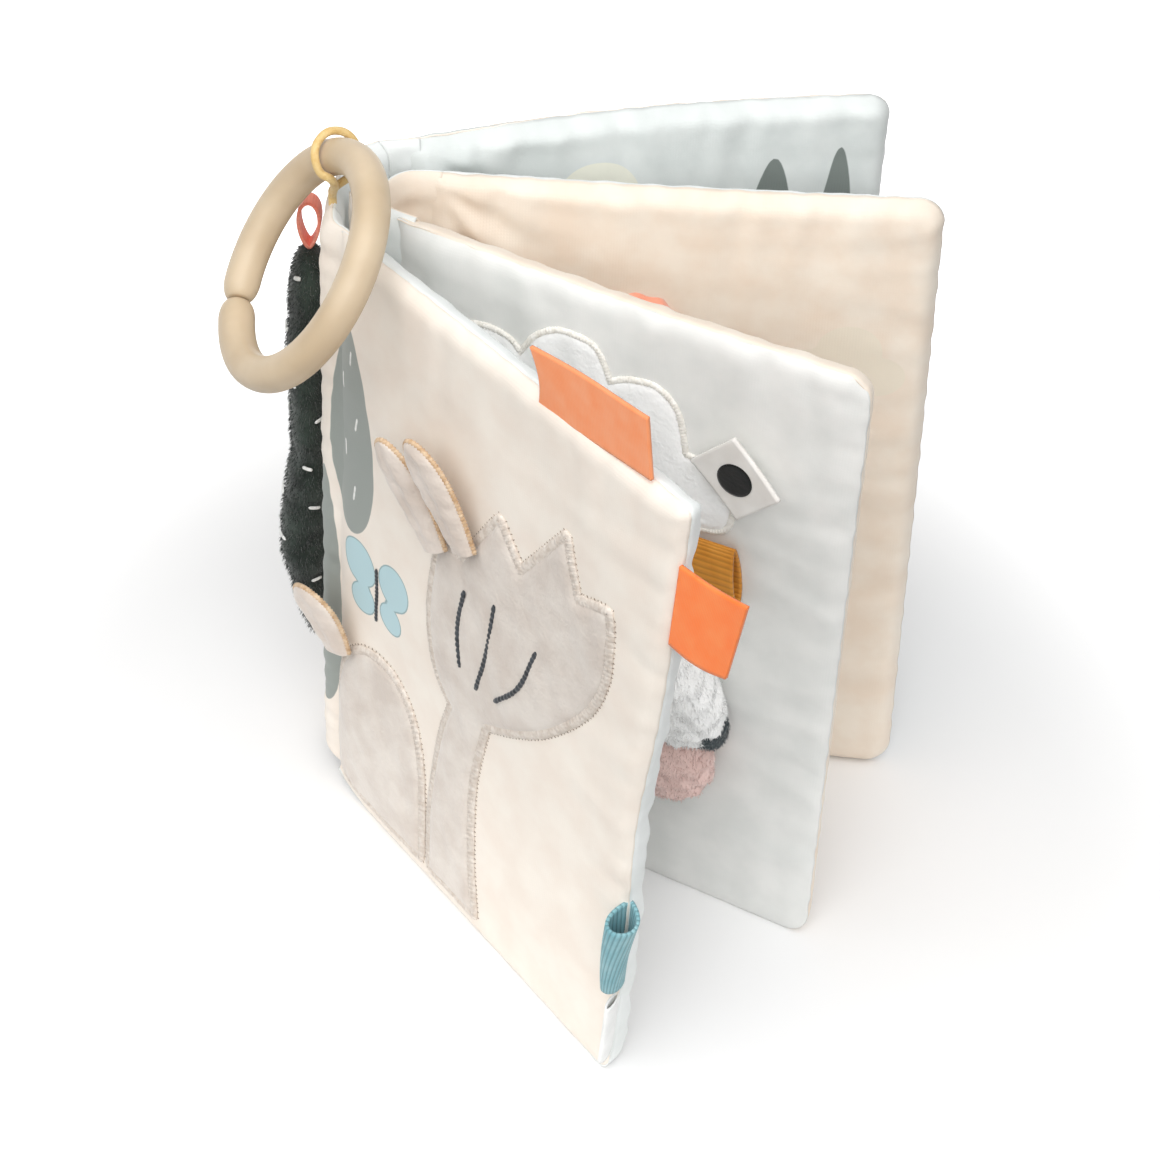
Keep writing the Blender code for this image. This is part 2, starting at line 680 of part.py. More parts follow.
def make_ring(root):
    """A split ring: one round bar bent to a circle, with rounded ends that all but meet."""
    centre, first, second, normal = ring_frame()
    turn = math.degrees((RING_GAP / 2.0 + RING_TUBE) / RING_RADIUS)
    start = RING_GAP_ANGLE + turn
    stop = RING_GAP_ANGLE + 360.0 - turn
    angles = spaced(start, stop, RING_POINTS)
    points = [(a, 1.0) for a in angles]
    cap = math.degrees(RING_TUBE / RING_RADIUS)
    for k in range(1, RING_END_POINTS + 1):
        t = k / RING_END_POINTS * RING_END_SHARE
        points.insert(0, (start - cap * t, math.sqrt(1.0 - t * t)))
        points.append((stop + cap * t, math.sqrt(1.0 - t * t)))
    curve = bpy.data.curves.new("teething_ring", "CURVE")
    curve.dimensions = "3D"
    curve.bevel_depth = RING_TUBE
    curve.bevel_resolution = 3
    curve.use_fill_caps = True
    curve.twist_mode = "Z_UP"
    curve.render_resolution_u = 0
    spline = curve.splines.new("POLY")
    spline.points.add(len(points) - 1)
    for place, (angle, radius) in zip(spline.points, points):
        a = math.radians(angle)
        place.co = (RING_RADIUS * math.cos(a), RING_RADIUS * math.sin(a), 0.0, 1.0)
        place.radius = radius
    item = add_object("teething_ring", curve, material("beige_silicone", "#D5BFA2", 0.5), root)
    axes = Matrix((first, second, normal)).transposed()
    item.location = centre
    item.rotation_euler = axes.to_euler()
    weld = item.modifiers.new("weld", "WELD")
    weld.merge_threshold = MERGE
    return item


def cord_path():
    """Both cord ends stand in the seam's pocket; between them the cord goes round the ring's bar."""
    foot = Vector((SPINE_THICKNESS / 2.0 - SPINE_BULGE, CORD_FOOT_SHARE * SPINE_SPAN,
                   LEAF_HEIGHT - CORD_POCKET + CLEARANCE))
    bar = ring_point(CORD_CROSSING_ANGLE)
    centre = ring_frame()[0]
    along_bar = ring_frame()[3].cross((bar - centre).normalized()).normalized()
    up = bar - foot
    up = (up - along_bar * up.dot(along_bar)).normalized()
    side = up.cross(along_bar).normalized()
    reach = RING_TUBE + CORD_RADIUS + CORD_SLACK
    lip = Vector((foot.x, foot.y, LEAF_HEIGHT + CORD_RADIUS))
    spread = Vector((0.0, CORD_FOOT_SPREAD / 2.0, 0.0))
    if side.dot(spread) < 0.0:
        side = -side
    points = [foot - spread, lip - spread]
    for angle in spaced(-CORD_WRAP_ANGLE / 2.0, CORD_WRAP_ANGLE / 2.0, CORD_WRAP_POINTS):
        a = math.radians(angle)
        points.append(bar + up * (math.cos(a) * reach) + side * (math.sin(a) * reach))
    points += [lip + spread, foot + spread]
    return points


def make_cord(root):
    """The thin cord that carries the ring, as a round tube along its route."""
    path = smooth_path(cord_path(), 3)
    curve = bpy.data.curves.new("cord_loop", "CURVE")
    curve.dimensions = "3D"
    curve.bevel_depth = CORD_RADIUS
    curve.bevel_resolution = 2
    curve.use_fill_caps = True
    curve.render_resolution_u = 0
    spline = curve.splines.new("POLY")
    spline.points.add(len(path) - 1)
    for place, point in zip(spline.points, path):
        place.co = (*point, 1.0)
    item = add_object("cord_loop", curve, material("gold_cord", "#E2BF80", 0.6), root)
    weld = item.modifiers.new("weld", "WELD")
    weld.merge_threshold = MERGE
    return item


# Trims on the leaves

def outer_face():
    """The lift of a patch on a leaf's face over the leaf's mid plane."""
    return LEAF_THICKNESS / 2.0 + CLEARANCE


def trim_front_cover(axis):
    """The plush picture, loose flaps, ribbon labels, ribbon loop and care label."""
    face = outer_face()
    outline_patch("hill_plush", HILL_SHARES, HILL_CORNERS, plush(), axis)
    outline_patch("tulip_plush", TULIP_SHARES, TULIP_CORNERS, plush(), axis)
    petal("petal_left", PETAL_LENGTH, PETAL_WIDTH, PETAL_CURL, PETAL_LEFT_SHARES, face + PLUSH,
          PETAL_TURN, PETAL_LEAN, plush(), axis)
    petal("petal_right", PETAL_LENGTH, PETAL_WIDTH, PETAL_CURL, PETAL_RIGHT_SHARES, face + PLUSH,
          PETAL_TURN, PETAL_LEAN, plush(), axis)
    petal("leaf_flap", LEAF_FLAP_LENGTH, LEAF_FLAP_WIDTH, PETAL_CURL, LEAF_FLAP_SHARES, face + PLUSH,
          LEAF_FLAP_TURN, LEAF_FLAP_LEAN, plush(), axis)
    orange = material("orange_satin", "#FF8438", 0.45)
    label = 2.0 * RIBBON
    start = TOP_TAG_PLACE_SHARE * LEAF_WIDTH - TOP_TAG_LENGTH / 2.0
    bow = [Vector((x * TOP_TAG_LENGTH, -TOP_TAG_BOW * (1.0 - x) ** 2)) for x in spaced(0.0, 1.0, 7)]
    ribbon_strip("top_tag", bow, TOP_TAG_HEIGHT, label, orange, axis,
                 (start, 0.0, LEAF_HEIGHT + RIBBON_GAP))
    low = SIDE_TAG_PLACE_SHARE * LEAF_HEIGHT - SIDE_TAG_HEIGHT / 2.0
    side = [Vector((x * SIDE_TAG_LENGTH, SIDE_TAG_BOW * x * x)) for x in spaced(0.0, 1.0, 5)]
    ribbon_strip("side_tag", side, SIDE_TAG_HEIGHT, label, orange, axis,
                 (LEAF_WIDTH + RIBBON_GAP, 0.0, low))
    low = TEAL_PLACE_SHARE * LEAF_HEIGHT - TEAL_WIDTH / 2.0
    teal = ribbon_strip("teal_loop", loop_path(TEAL_REACH, TEAL_DEPTH, 16), TEAL_WIDTH, RIBBON,
                        material("teal_grosgrain", "#86B9C3", 0.8), axis,
                        (LEAF_WIDTH + RIBBON_GAP + label, 0.0, low), True)
    teal.rotation_euler = (0.0, 0.0, math.radians(TEAL_ANGLE))
    low = CARE_PLACE_SHARE * LEAF_HEIGHT - CARE_WIDTH / 2.0
    care = [Vector((x * CARE_REACH, -CARE_BOW * x)) for x in spaced(0.0, 1.0, 4)]
    ribbon_strip("care_label", care, CARE_WIDTH, RIBBON, material("white_satin", "#F5F5F3", 0.5), axis,
                 (LEAF_WIDTH + RIBBON_GAP, 0.0, low))


def trim_page_a(axis):
    """Cloud, flap with a spot, mustard loop and stuffed toadstool on the page's front face."""
    face = outer_face()
    white = material("white_plush", "#EFEFEC", 0.95)
    outline_patch("cloud_patch", CLOUD_SHARES, CLOUD_CORNERS, white, axis)
    u, v = leaf_point(FLAP_SHARES)
    hinge = add_axis("spot_flap_hinge", (u, -(face + PLUSH + CLEARANCE + FELT / 2.0), v), 0.0, axis)
    hinge.rotation_euler = (Matrix.Rotation(math.radians(FLAP_TURN), 3, "Y")
                            @ Matrix.Rotation(math.radians(FLAP_LEAN), 3, "X")).to_euler()
    bm = bmesh.new()
    bmesh.ops.create_cube(bm, size=1.0)
    move = Matrix.Translation((0.0, 0.0, FLAP_SIDE / 2.0))
    bmesh.ops.transform(bm, matrix=move @ Matrix.Diagonal((FLAP_SIDE, FELT, FLAP_SIDE, 1.0)),
                        verts=bm.verts)
    flap = add_object("spot_flap", mesh_from(bm, "spot_flap"), white, hinge)
    edge = flap.modifiers.new("round", "BEVEL")
    edge.width = FELT * EDGE_ROUND_SHARE
    edge.segments = 1
    bm = bmesh.new()
    bmesh.ops.create_cone(bm, cap_ends=True, segments=SPOT_SIDES, radius1=SPOT_RADIUS,
                          radius2=SPOT_RADIUS, depth=SPOT_THICKNESS)
    turn = Matrix.Rotation(math.radians(90.0), 4, "X")
    lift = FELT / 2.0 + CLEARANCE + SPOT_THICKNESS / 2.0
    bmesh.ops.transform(bm, matrix=Matrix.Translation((0.0, -lift, FLAP_SIDE / 2.0)) @ turn,
                        verts=bm.verts)
    add_object("flap_spot", mesh_from(bm, "flap_spot"), material("black_felt", "#1B1B1A", 0.95), hinge)
    u, v = leaf_point(MUSTARD_SHARES)
    mustard = ribbon_strip("mustard_loop", loop_path(MUSTARD_REACH, MUSTARD_DEPTH, 14), MUSTARD_WIDTH,
                           RIBBON, material("mustard_ribbon", "#C27E2A", 0.6), axis,
                           (u - MUSTARD_WIDTH, -(face + MUSTARD_DEPTH / 2.0), v), True)
    mustard.rotation_euler = Matrix(((0.0, 0.0, 1.0), (0.0, 1.0, 0.0), (-1.0, 0.0, 0.0))).to_euler()
    make_toadstool(axis, white)


def make_toadstool(axis, white):
    """A stuffed toadstool: the stalk and a small grey button are cut to seat against the cap."""
    face = outer_face()
    u, v = leaf_point(CAP_SHARES)

    def cap_form(x, y, z):
        droop = CAP_SAG_SHARE * (x * x - CAP_BROW_SHARE)
        return x * (1.0 - CAP_TAPER_SHARE * max(z, 0.0)), y, z - droop

    def stalk_form(x, y, z):
        return x * (1.0 - STALK_TAPER_SHARE * z), y, z

    cap = stuffed("toadstool_cap", (CAP_WIDTH, CAP_DEPTH, CAP_HEIGHT), white, axis,
                  (u, -(face + CAP_DEPTH / 2.0), v), cap_form)
    grow = tuple(1.0 + 2.0 * CLEARANCE / side for side in (CAP_WIDTH, CAP_DEPTH, CAP_HEIGHT))
    stalk = stuffed("toadstool_stalk", (STALK_WIDTH, STALK_DEPTH, STALK_HEIGHT),
                    material("pink_plush", "#DDC3C0", 0.95), axis,
                    (u, -(face + STALK_DEPTH / 2.0), v - STALK_DROP), stalk_form)
    seat_against(stalk, cap, grow)
    place = (u + CAP_WIDTH * BUTTON_SHARES[0], -(face + CAP_DEPTH / 2.0), v + CAP_HEIGHT * BUTTON_SHARES[1])
    button = stuffed("toadstool_button", (BUTTON_WIDTH, BUTTON_DEPTH, BUTTON_HEIGHT),
                     material("grey_plush", "#4A5152", 0.95), axis, place, None, 1)
    seat_against(button, cap, grow)


def trim_page_b(axis, shift):
    """A round coral sun of plush on the page's front face."""
    u, v = leaf_point(SUN_SHARES)
    bm = bmesh.new()
    bmesh.ops.create_cone(bm, cap_ends=True, segments=SUN_RAYS, radius1=SUN_RADIUS, radius2=SUN_RADIUS,
                          depth=SUN_THICKNESS)
    turn = Matrix.Rotation(math.radians(90.0), 4, "X")
    lift = outer_face() + SUN_THICKNESS / 2.0
    bmesh.ops.transform(bm, matrix=Matrix.Translation((u + shift[0], shift[1] - lift, v)) @ turn,
                        verts=bm.verts)
    item = add_object("sun_plush", mesh_from(bm, "sun_plush"), material("coral_plush", "#F7A88E", 0.95), axis)
    edge = item.modifiers.new("round", "BEVEL")
    edge.width = SUN_THICKNESS * EDGE_ROUND_SHARE
    edge.segments = 1
    edge.limit_method = "ANGLE"


def leaf_shift(hinge_shares, axis_shares, angle):
    """A leaf's hinge line seen from its turning axis: along the leaf and across it."""
    a = math.radians(angle)
    step = spine_point(hinge_shares) - spine_point(axis_shares)
    return (step.x * math.cos(a) + step.y * math.sin(a),
            step.y * math.cos(a) - step.x * math.sin(a))


def centre_on_origin(root):
    """Moves the book so that the middle of its base is the origin."""
    bpy.context.view_layer.update()
    graph = bpy.context.evaluated_depsgraph_get()
    low = Vector((1e9, 1e9, 1e9))
    high = -low
    for item in bpy.data.collections[COLLECTION].objects:
        if item.type == "EMPTY":
            continue
        made = item.evaluated_get(graph)
        data = made.to_mesh()
        for vert in data.vertices:
            place = made.matrix_world @ vert.co
            low = Vector(map(min, low, place))
            high = Vector(map(max, high, place))
        made.to_mesh_clear()
    root.location = (-(low.x + high.x) / 2.0, -(low.y + high.y) / 2.0, -low.z)
    bpy.context.view_layer.update()
    print("base centre", [round(v, 6) for v in root.location], "size", [round(v, 5) for v in high - low])
    for item in bpy.data.collections[COLLECTION].objects:
        if item.type == "EMPTY":
            print(item.name, [round(v, 6) for v in item.matrix_world.translation])


def main():
    start_scene()
    root = add_axis("book", (0.0, 0.0, 0.0), 0.0, None)
    outline = make_spine(root)
    make_hinge_cloths(root, outline)
    make_bush(root, outline)
    make_ring(root)
    make_cord(root)
    none = (0.0, 0.0)
    front = add_axis("front_cover_hinge", (*spine_point(FRONT_COVER_HINGE_SHARES), 0.0),
                     FRONT_COVER_ANGLE, root)
    make_leaf("front_cover", cream(), mint(), front, none, film=True)
    trim_front_cover(front)
    page_a = add_axis("page_a_hinge", (*spine_point(PAGE_A_HINGE_SHARES), 0.0), PAGE_A_ANGLE, root)
    make_leaf("page_a", mint(), peach(), page_a, none)
    trim_page_a(page_a)
    page_b = add_axis("page_b_hinge", (*spine_point(BACK_AXIS_SHARES), 0.0), PAGE_B_ANGLE, root)
    shift_b = leaf_shift(PAGE_B_HINGE_SHARES, BACK_AXIS_SHARES, PAGE_B_ANGLE)
    make_leaf("page_b", peach(), mint(), page_b, shift_b, film=True)
    trim_page_b(page_b, shift_b)
    back = add_axis("back_cover_hinge", (*spine_point(BACK_AXIS_SHARES), 0.0), BACK_COVER_ANGLE, root)
    shift_back = leaf_shift(BACK_COVER_HINGE_SHARES, BACK_AXIS_SHARES, BACK_COVER_ANGLE)
    make_leaf("back_cover", mint(), cream(), back, shift_back)
    centre_on_origin(root)


main()
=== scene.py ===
"""Looks of a baby's cloth activity book that stands open on its lower edge.

Shapes are worked out in millimetres in the book's own plan, with the spine near the origin, the
leaves fanned towards +X and the front cover nearest -Y. to_frame() turns them to metres where the
CAD part stands. On a leaf, u runs out from the spine, v runs up and n runs across; side -1 is the
leaf's face towards the front cover, and side 1 is its other face.
"""

import math

import bmesh
import bpy
import numpy as np
from mathutils import Matrix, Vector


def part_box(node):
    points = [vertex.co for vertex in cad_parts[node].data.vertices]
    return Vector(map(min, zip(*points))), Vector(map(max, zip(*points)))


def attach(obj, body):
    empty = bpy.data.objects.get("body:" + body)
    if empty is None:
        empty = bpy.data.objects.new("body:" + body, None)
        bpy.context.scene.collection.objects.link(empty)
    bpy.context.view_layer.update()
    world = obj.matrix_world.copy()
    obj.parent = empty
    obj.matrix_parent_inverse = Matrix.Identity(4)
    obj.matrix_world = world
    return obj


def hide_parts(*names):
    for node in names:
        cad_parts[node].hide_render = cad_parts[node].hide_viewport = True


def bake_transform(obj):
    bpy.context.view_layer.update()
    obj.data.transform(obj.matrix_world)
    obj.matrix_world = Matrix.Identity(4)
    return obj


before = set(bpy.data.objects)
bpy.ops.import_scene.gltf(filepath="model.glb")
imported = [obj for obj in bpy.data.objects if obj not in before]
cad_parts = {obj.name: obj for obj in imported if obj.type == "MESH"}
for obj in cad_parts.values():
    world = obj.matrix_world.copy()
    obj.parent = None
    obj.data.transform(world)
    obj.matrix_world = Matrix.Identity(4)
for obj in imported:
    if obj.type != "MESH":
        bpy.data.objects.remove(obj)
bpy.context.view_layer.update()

# Metres in a millimetre, and the way from the plan's origin to the CAD part's, in millimetres
MM = 0.001
SHIFT = np.array([-49.545, 36.537, 0.0])
# A leaf's size, where its cloth starts, its faces' crown and the crown's share left at the hinge
WIDTH = 127.0
HEIGHT = 170.0
FOOT = 5.5
CROWN = 4.1
HINGE_SHARE = 0.36
# The wall of a cloth face, and the length that counts as 1 on a piece's map
CLOTH_WALL = 0.4
MAP_UNIT = 100.0

# Hinge line in plan, angle from +X, twist from bottom to top, width's share more at mid height and
# its change from bottom to top, bow across at the bottom and top, seed and strength of the gathers
# along the four edges (spine, outer, bottom, top), the seam's place across at the bottom and top,
# and the radius of the outer corners; in millimetres and degrees
LEAVES = {
    "front_cover": {"hinge": (-8.5, -15.1), "angle": -50.75, "twist": 2.7, "wider": 0.0,
                    "stretch": 0.030, "bow": (0.0, 0.4), "seed": 11,
                    "gathers": (0.10, 0.16, 0.10, 0.20), "seam": (-2.8, -1.0), "corner": 3.4},
    "page_a": {"hinge": (2.5, -9.4), "angle": -26.2, "twist": 0.0, "wider": -0.016,
               "stretch": -0.014, "bow": (0.5, -1.6), "seed": 23,
               "gathers": (0.25, 0.20, 0.14, 0.42), "seam": (-3.2, -2.4), "corner": 7.0},
    "page_b": {"hinge": (6.1, 6.6), "angle": -1.5, "twist": 4.1, "wider": 0.015,
               "stretch": -0.040, "bow": (0.0, -1.2), "seed": 37,
               "gathers": (0.60, 0.16, 0.16, 0.42), "seam": (-0.3, 0.3), "corner": 6.5},
    "back_cover": {"hinge": (0.0, 17.9), "angle": 16.3, "twist": 0.0, "wider": 0.0,
                   "stretch": 0.0, "bow": (0.0, 4.2), "seed": 53,
                   "gathers": (0.60, 0.20, 0.16, 0.50), "seam": (0.4, 0.8), "corner": 6.0},
}


# Meshes

def to_frame(points):
    """Millimetres in the book's plan to metres in the CAD part's frame."""
    return (np.asarray(points, float) + SHIFT) * MM


def add_object(name, data):
    """An object of that data in the scene's collection."""
    item = bpy.data.objects.new(name, data)
    bpy.context.scene.collection.objects.link(item)
    return item


def mesh_piece(name, points, faces, uv=None):
    """A smooth-shaded object from points in millimetres and quads; uv has a place per point."""
    data = bpy.data.meshes.new(name)
    data.from_pydata(to_frame(points).tolist(), [], faces.tolist())
    if uv is not None:
        layer = data.uv_layers.new(name="place")
        layer.data.foreach_set("uv", uv[faces.reshape(-1)].astype(np.float32).reshape(-1))
    bm = bmesh.new()
    bm.from_mesh(data)
    bmesh.ops.remove_doubles(bm, verts=bm.verts, dist=1e-7)
    bm.to_mesh(data)
    bm.free()
    data.shade_smooth()
    return add_object(name, data)


def quads(rows, cols):
    """The four corners of each cell of a grid, as numbers of the grid's points."""
    corner = np.arange(rows * cols).reshape(rows, cols)
    return np.stack([corner[:-1, :-1], corner[:-1, 1:], corner[1:, 1:], corner[1:, :-1]], -1)


def surface(name, grid, uv=None, flip=False):
    """A surface over a grid of points, rows by columns. A ring's last column repeats its first,
    and the rows at a pole are one point, so that merging closes both."""
    faces = quads(*grid.shape[:2]).reshape(-1, 4)
    if flip:
        faces = faces[:, ::-1]
    return mesh_piece(name, grid.reshape(-1, 3), faces, None if uv is None else uv.reshape(-1, 2))


def give_wall(item, thickness, offset=-1.0):
    """Solidify to a closed wall of that thickness in millimetres, made part of the mesh."""
    wall = item.modifiers.new("wall", "SOLIDIFY")
    wall.thickness = thickness * MM
    wall.offset = offset
    wall.use_even_offset = False
    graph = bpy.context.evaluated_depsgraph_get()
    made = bpy.data.meshes.new_from_object(item.evaluated_get(graph))
    item.modifiers.clear()
    item.data = made
    return item


def unit(value):
    """The value held between 0 and 1."""
    return np.clip(value, 0.0, 1.0)


def rounded(distance, reach, power):
    """A round from 0 at an edge to 1 at reach from it: 1 less a power of the share still to go."""
    return 1.0 - (1.0 - unit(distance / reach)) ** power


def turned(centre, x, y, degrees):
    """Places x and y turned about the origin by degrees, then moved to the centre."""
    a = np.radians(degrees)
    return centre[0] + x * np.cos(a) - y * np.sin(a), centre[1] + x * np.sin(a) + y * np.cos(a)


def polar(rings, around):
    """Grid of shares out from a centre and of turns about it in radians."""
    return np.meshgrid(np.linspace(0.0, 1.0, rings), np.linspace(0.0, 2.0 * np.pi, around), indexing="ij")


def ripple(place, seed, lengths):
    """Sum of sine waves of those lengths with seeded phases, about -1 to 1."""
    draw = np.random.default_rng(seed)
    total = 0.0
    for length in lengths:
        total = total + np.sin(2.0 * np.pi * place / length + draw.uniform(0.0, 2.0 * np.pi))
    return total / math.sqrt(len(lengths))


def eased(first, last, count, share=0.55):
    """Places from first to last, closer together near both ends: share of them follows a cosine."""
    t = np.linspace(0.0, 1.0, count)
    t = (1.0 - share) * t + share * (0.5 - 0.5 * np.cos(np.pi * t))
    return first + (last - first) * t


def curve_through(points, per, corners=(), closed=False):
    """Cubic Hermite curve through the points, whose slopes are half the step between a point's
    neighbours and nothing at a corner; per places between two points."""
    points = np.asarray(points, float)
    if closed:
        ahead = np.roll(points, -1, axis=0)
        slopes = (ahead - np.roll(points, 1, axis=0)) / 2.0
        starts = np.arange(len(points))
        stops = (starts + 1) % len(points)
    else:
        before, after = points[:1] * 2.0 - points[1:2], points[-1:] * 2.0 - points[-2:-1]
        padded = np.vstack([before, points, after])
        slopes = (padded[2:] - padded[:-2]) / 2.0
        starts = np.arange(len(points) - 1)
        stops = starts + 1
    slopes[list(corners)] = 0.0
    t = (np.arange(per) / per)[None, :, None]
    a, b = points[starts][:, None], points[stops][:, None]
    sa, sb = slopes[starts][:, None], slopes[stops][:, None]
    made = ((2 * t ** 3 - 3 * t ** 2 + 1) * a + (t ** 3 - 2 * t ** 2 + t) * sa
            + (3 * t ** 2 - 2 * t ** 3) * b + (t ** 3 - t ** 2) * sb).reshape(-1, points.shape[1])
    return made if closed else np.vstack([made, points[-1:]])


def even_steps(path, step, closed=False):
    """The path at even steps of its length, with that length at each place."""
    if closed:
        path = np.vstack([path, path[:1]])
    run = np.concatenate([[0.0], np.cumsum(np.linalg.norm(np.diff(path, axis=0), axis=1))])
    keep = np.concatenate([[True], np.diff(run) > 1e-9])
    path, run = path[keep], run[keep]
    at = np.linspace(0.0, run[-1], max(4, int(run[-1] / step)))
    return np.stack([np.interp(at, run, path[:, k]) for k in range(path.shape[1])], -1), at


def path_normals(path, closed=False):
    """Unit normals on the right-hand side of a path; a closed path's last place repeats its first."""
    way = np.gradient(path, axis=0)
    if closed:
        way[0] = way[-1] = path[1] - path[-2]
    way /= np.maximum(np.linalg.norm(way, axis=1), 1e-9)[:, None]
    return np.stack([way[:, 1], -way[:, 0]], -1)


def outline_distance(u, v, outline):
    """Signed distance in millimetres from a closed outline, negative inside: the nearest side's
    distance, and inside by counting the sides crossed towards +u."""
    p = np.stack([u.ravel(), v.ravel()], -1)
    a = np.asarray(outline, float)
    b = np.roll(a, -1, axis=0)
    best = np.full(len(p), 1e9)
    inside = np.zeros(len(p), bool)
    for first in range(0, len(a), 16):
        s, e = a[first:first + 16], b[first:first + 16]
        way = e - s
        t = np.einsum("nmk,mk->nm", p[:, None] - s, way) / np.maximum((way ** 2).sum(1), 1e-12)
        near = s + unit(t)[..., None] * way
        best = np.minimum(best, np.linalg.norm(p[:, None] - near, axis=2).min(1))
        over = (s[:, 1] > p[:, 1:]) != (e[:, 1] > p[:, 1:])
        rise = np.where(way[:, 1] == 0, 1e-12, way[:, 1])
        cross = s[:, 0] + (p[:, 1:] - s[:, 1]) * way[:, 0] / rise
        inside ^= ((over & (p[:, :1] < cross)).sum(1) % 2).astype(bool)
    return np.where(inside, -best, best).reshape(u.shape)


def oval(centre, radii, turn=0.0, count=40):
    """Points of an ellipse."""
    a = np.linspace(0.0, 2.0 * np.pi, count, endpoint=False)
    return np.stack(turned(centre, radii[0] * np.cos(a), radii[1] * np.sin(a), turn), -1)


# Leaves

def corner_places(leaf, u, v):
    """Distances in from the outer edge and from the nearer of bottom and top, and how far the place
    lies past the two ends of the outer corner's quarter circle, 0 where it lies before them."""
    corner = LEAVES[leaf]["corner"]
    du, dv = WIDTH - u, np.minimum(v, HEIGHT - v)
    return du, dv, np.maximum(corner - du, 0.0), np.maximum(corner - dv, 0.0)


def open_distance(leaf, u, v):
    """Distance in from the three sewn edges; the two outer corners are quarter circles."""
    du, dv, a, b = corner_places(leaf, u, v)
    in_corner = LEAVES[leaf]["corner"] - np.hypot(a, b)
    return np.maximum(np.where((a > 0) & (b > 0), in_corner, np.minimum(du, dv)), 0.0)


def by_height(values, v):
    """A value that runs evenly from the first at a leaf's bottom to the last at its top."""
    low, high = values
    return low + (high - low) * v / HEIGHT


# The front cover's creases at its outer edge: height, depth and reach inwards
CREASES = ((60.5, 0.55, 8.0), (68.0, 0.30, 6.0), (26.5, 0.35, 7.0))


def gathers(leaf, side, u, v):
    """Puckers that the seam draws into the cloth: along each edge a sum of waves 6 to 19 mm long,
    which fades inwards and at the seam itself. On page B and the back cover folds fan out from the
    spine's top, and on the front cover three creases run in from the outer edge."""
    seed, strengths = LEAVES[leaf]["seed"], LEAVES[leaf]["gathers"]
    edges = ((v, u - FOOT), (v, WIDTH - u), (u, v), (u, HEIGHT - v))
    total = 0.0
    for k, ((along, inward), strength) in enumerate(zip(edges, strengths)):
        if leaf == "front_cover" and side > 0 and k == 1:
            strength = 0.6
        inward = np.maximum(inward, 0.0)
        slant = along + 0.18 * inward * ripple(along, seed + 40 + k, (60.0,))
        short = ripple(slant, seed + 2 * k + (side > 0), (5.7, 8.3)) * np.exp(-inward / 6.0)
        long = ripple(slant, seed + 9 + 2 * k + (side > 0), (11.0, 19.0)) * np.exp(-inward / 22.0)
        total = total + strength * (0.6 * short + 1.2 * long) * (1.0 - np.exp(-inward / 2.0))
    if leaf in ("page_b", "back_cover"):
        reach = np.hypot(u - FOOT, HEIGHT - v)
        turn = np.arctan2(HEIGHT - v, u - FOOT + 2.0)
        kept = unit((u - FOOT - 3.0) / 9.0) * unit(open_distance(leaf, u, v) / 4.0)
        fade = np.exp(-((reach - 22.0) / 17.0) ** 2)
        total = total + 0.85 * kept * ripple(turn, seed + 30, (0.42, 0.63)) * fade
    if leaf == "front_cover" and side < 0:
        inward = WIDTH - u
        for height, depth, reach in CREASES:
            groove = np.exp(-((v - height + 0.12 * inward) / 1.3) ** 2 - inward / reach)
            total = total - depth * groove * unit(inward / 2.0)
    return total


def mid_plane(leaf, u, v):
    """How far the leaf's middle stands across from its plane: half a sine wave along u, whose
    height runs from the bottom's bow to the top's."""
    t = unit((u - FOOT) / (WIDTH - FOOT))
    return by_height(LEAVES[leaf]["bow"], v) * np.sin(np.pi * t)


def face_height(leaf, side, u, v):
    """Where the cloth's face stands across the leaf: it rises from the seam on a steep round to a
    soft crown, with broad swells and the seam's gathers on it, and thins towards the hinge."""
    seam = by_height(LEAVES[leaf]["seam"], v)
    seed = LEAVES[leaf]["seed"]
    d = open_distance(leaf, u, v)
    rim = rounded(d, 6.5, 3.6 if side < 0 else 4.8)
    hinge = HINGE_SHARE + (1.0 - HINGE_SHARE) * rounded(u - FOOT, 11.0, 2.4)
    swell = 0.35 * ripple(u + 0.4 * v, seed + 5 + side, (47.0, 71.0))
    swell = swell + 0.25 * ripple(v, seed + 6, (58.0,))
    crown = side * (CROWN + swell * unit(d / 18.0)) * hinge
    return (mid_plane(leaf, u, v) + seam + (crown - seam) * rim
            + side * (0.02 + gathers(leaf, side, u, v) * hinge))


def raised(u, v):
    """Height on the front cover, whose foot rises towards the spine on a parabola."""
    rise = 5.5 * np.clip((24.0 - u) / 24.0, 0.0, 1.35) ** 2
    return v + rise * unit(1.0 - v / 34.0)


def on_leaf(leaf, u, n, v):
    """A leaf's place in the book's plan: turned about the hinge line by the leaf's angle, which
    changes a little from bottom to top, as its width does. The front cover's outer edge is drawn
    in by up to 2.6 mm just below its middle, and its foot is raised."""
    made = LEAVES[leaf]
    share = v / HEIGHT - 0.5
    wide = u * (1.0 + made["wider"] + made["stretch"] * share)
    if leaf == "front_cover":
        wide = wide - 2.6 * np.exp(-((v - 78.0) / 26.0) ** 2) * np.clip(u / WIDTH, 0.0, 1.1) ** 6
        v = raised(u, v)
    x, y = turned(made["hinge"], wide, n, made["angle"] + made["twist"] * share)
    return np.stack([x, y, v + 0.0 * u], -1)


def on_face(leaf, side, u, v, lift=0.0):
    """A place on a leaf's cloth, lifted off it by that much."""
    return on_leaf(leaf, u, face_height(leaf, side, u, v) + side * lift, v)


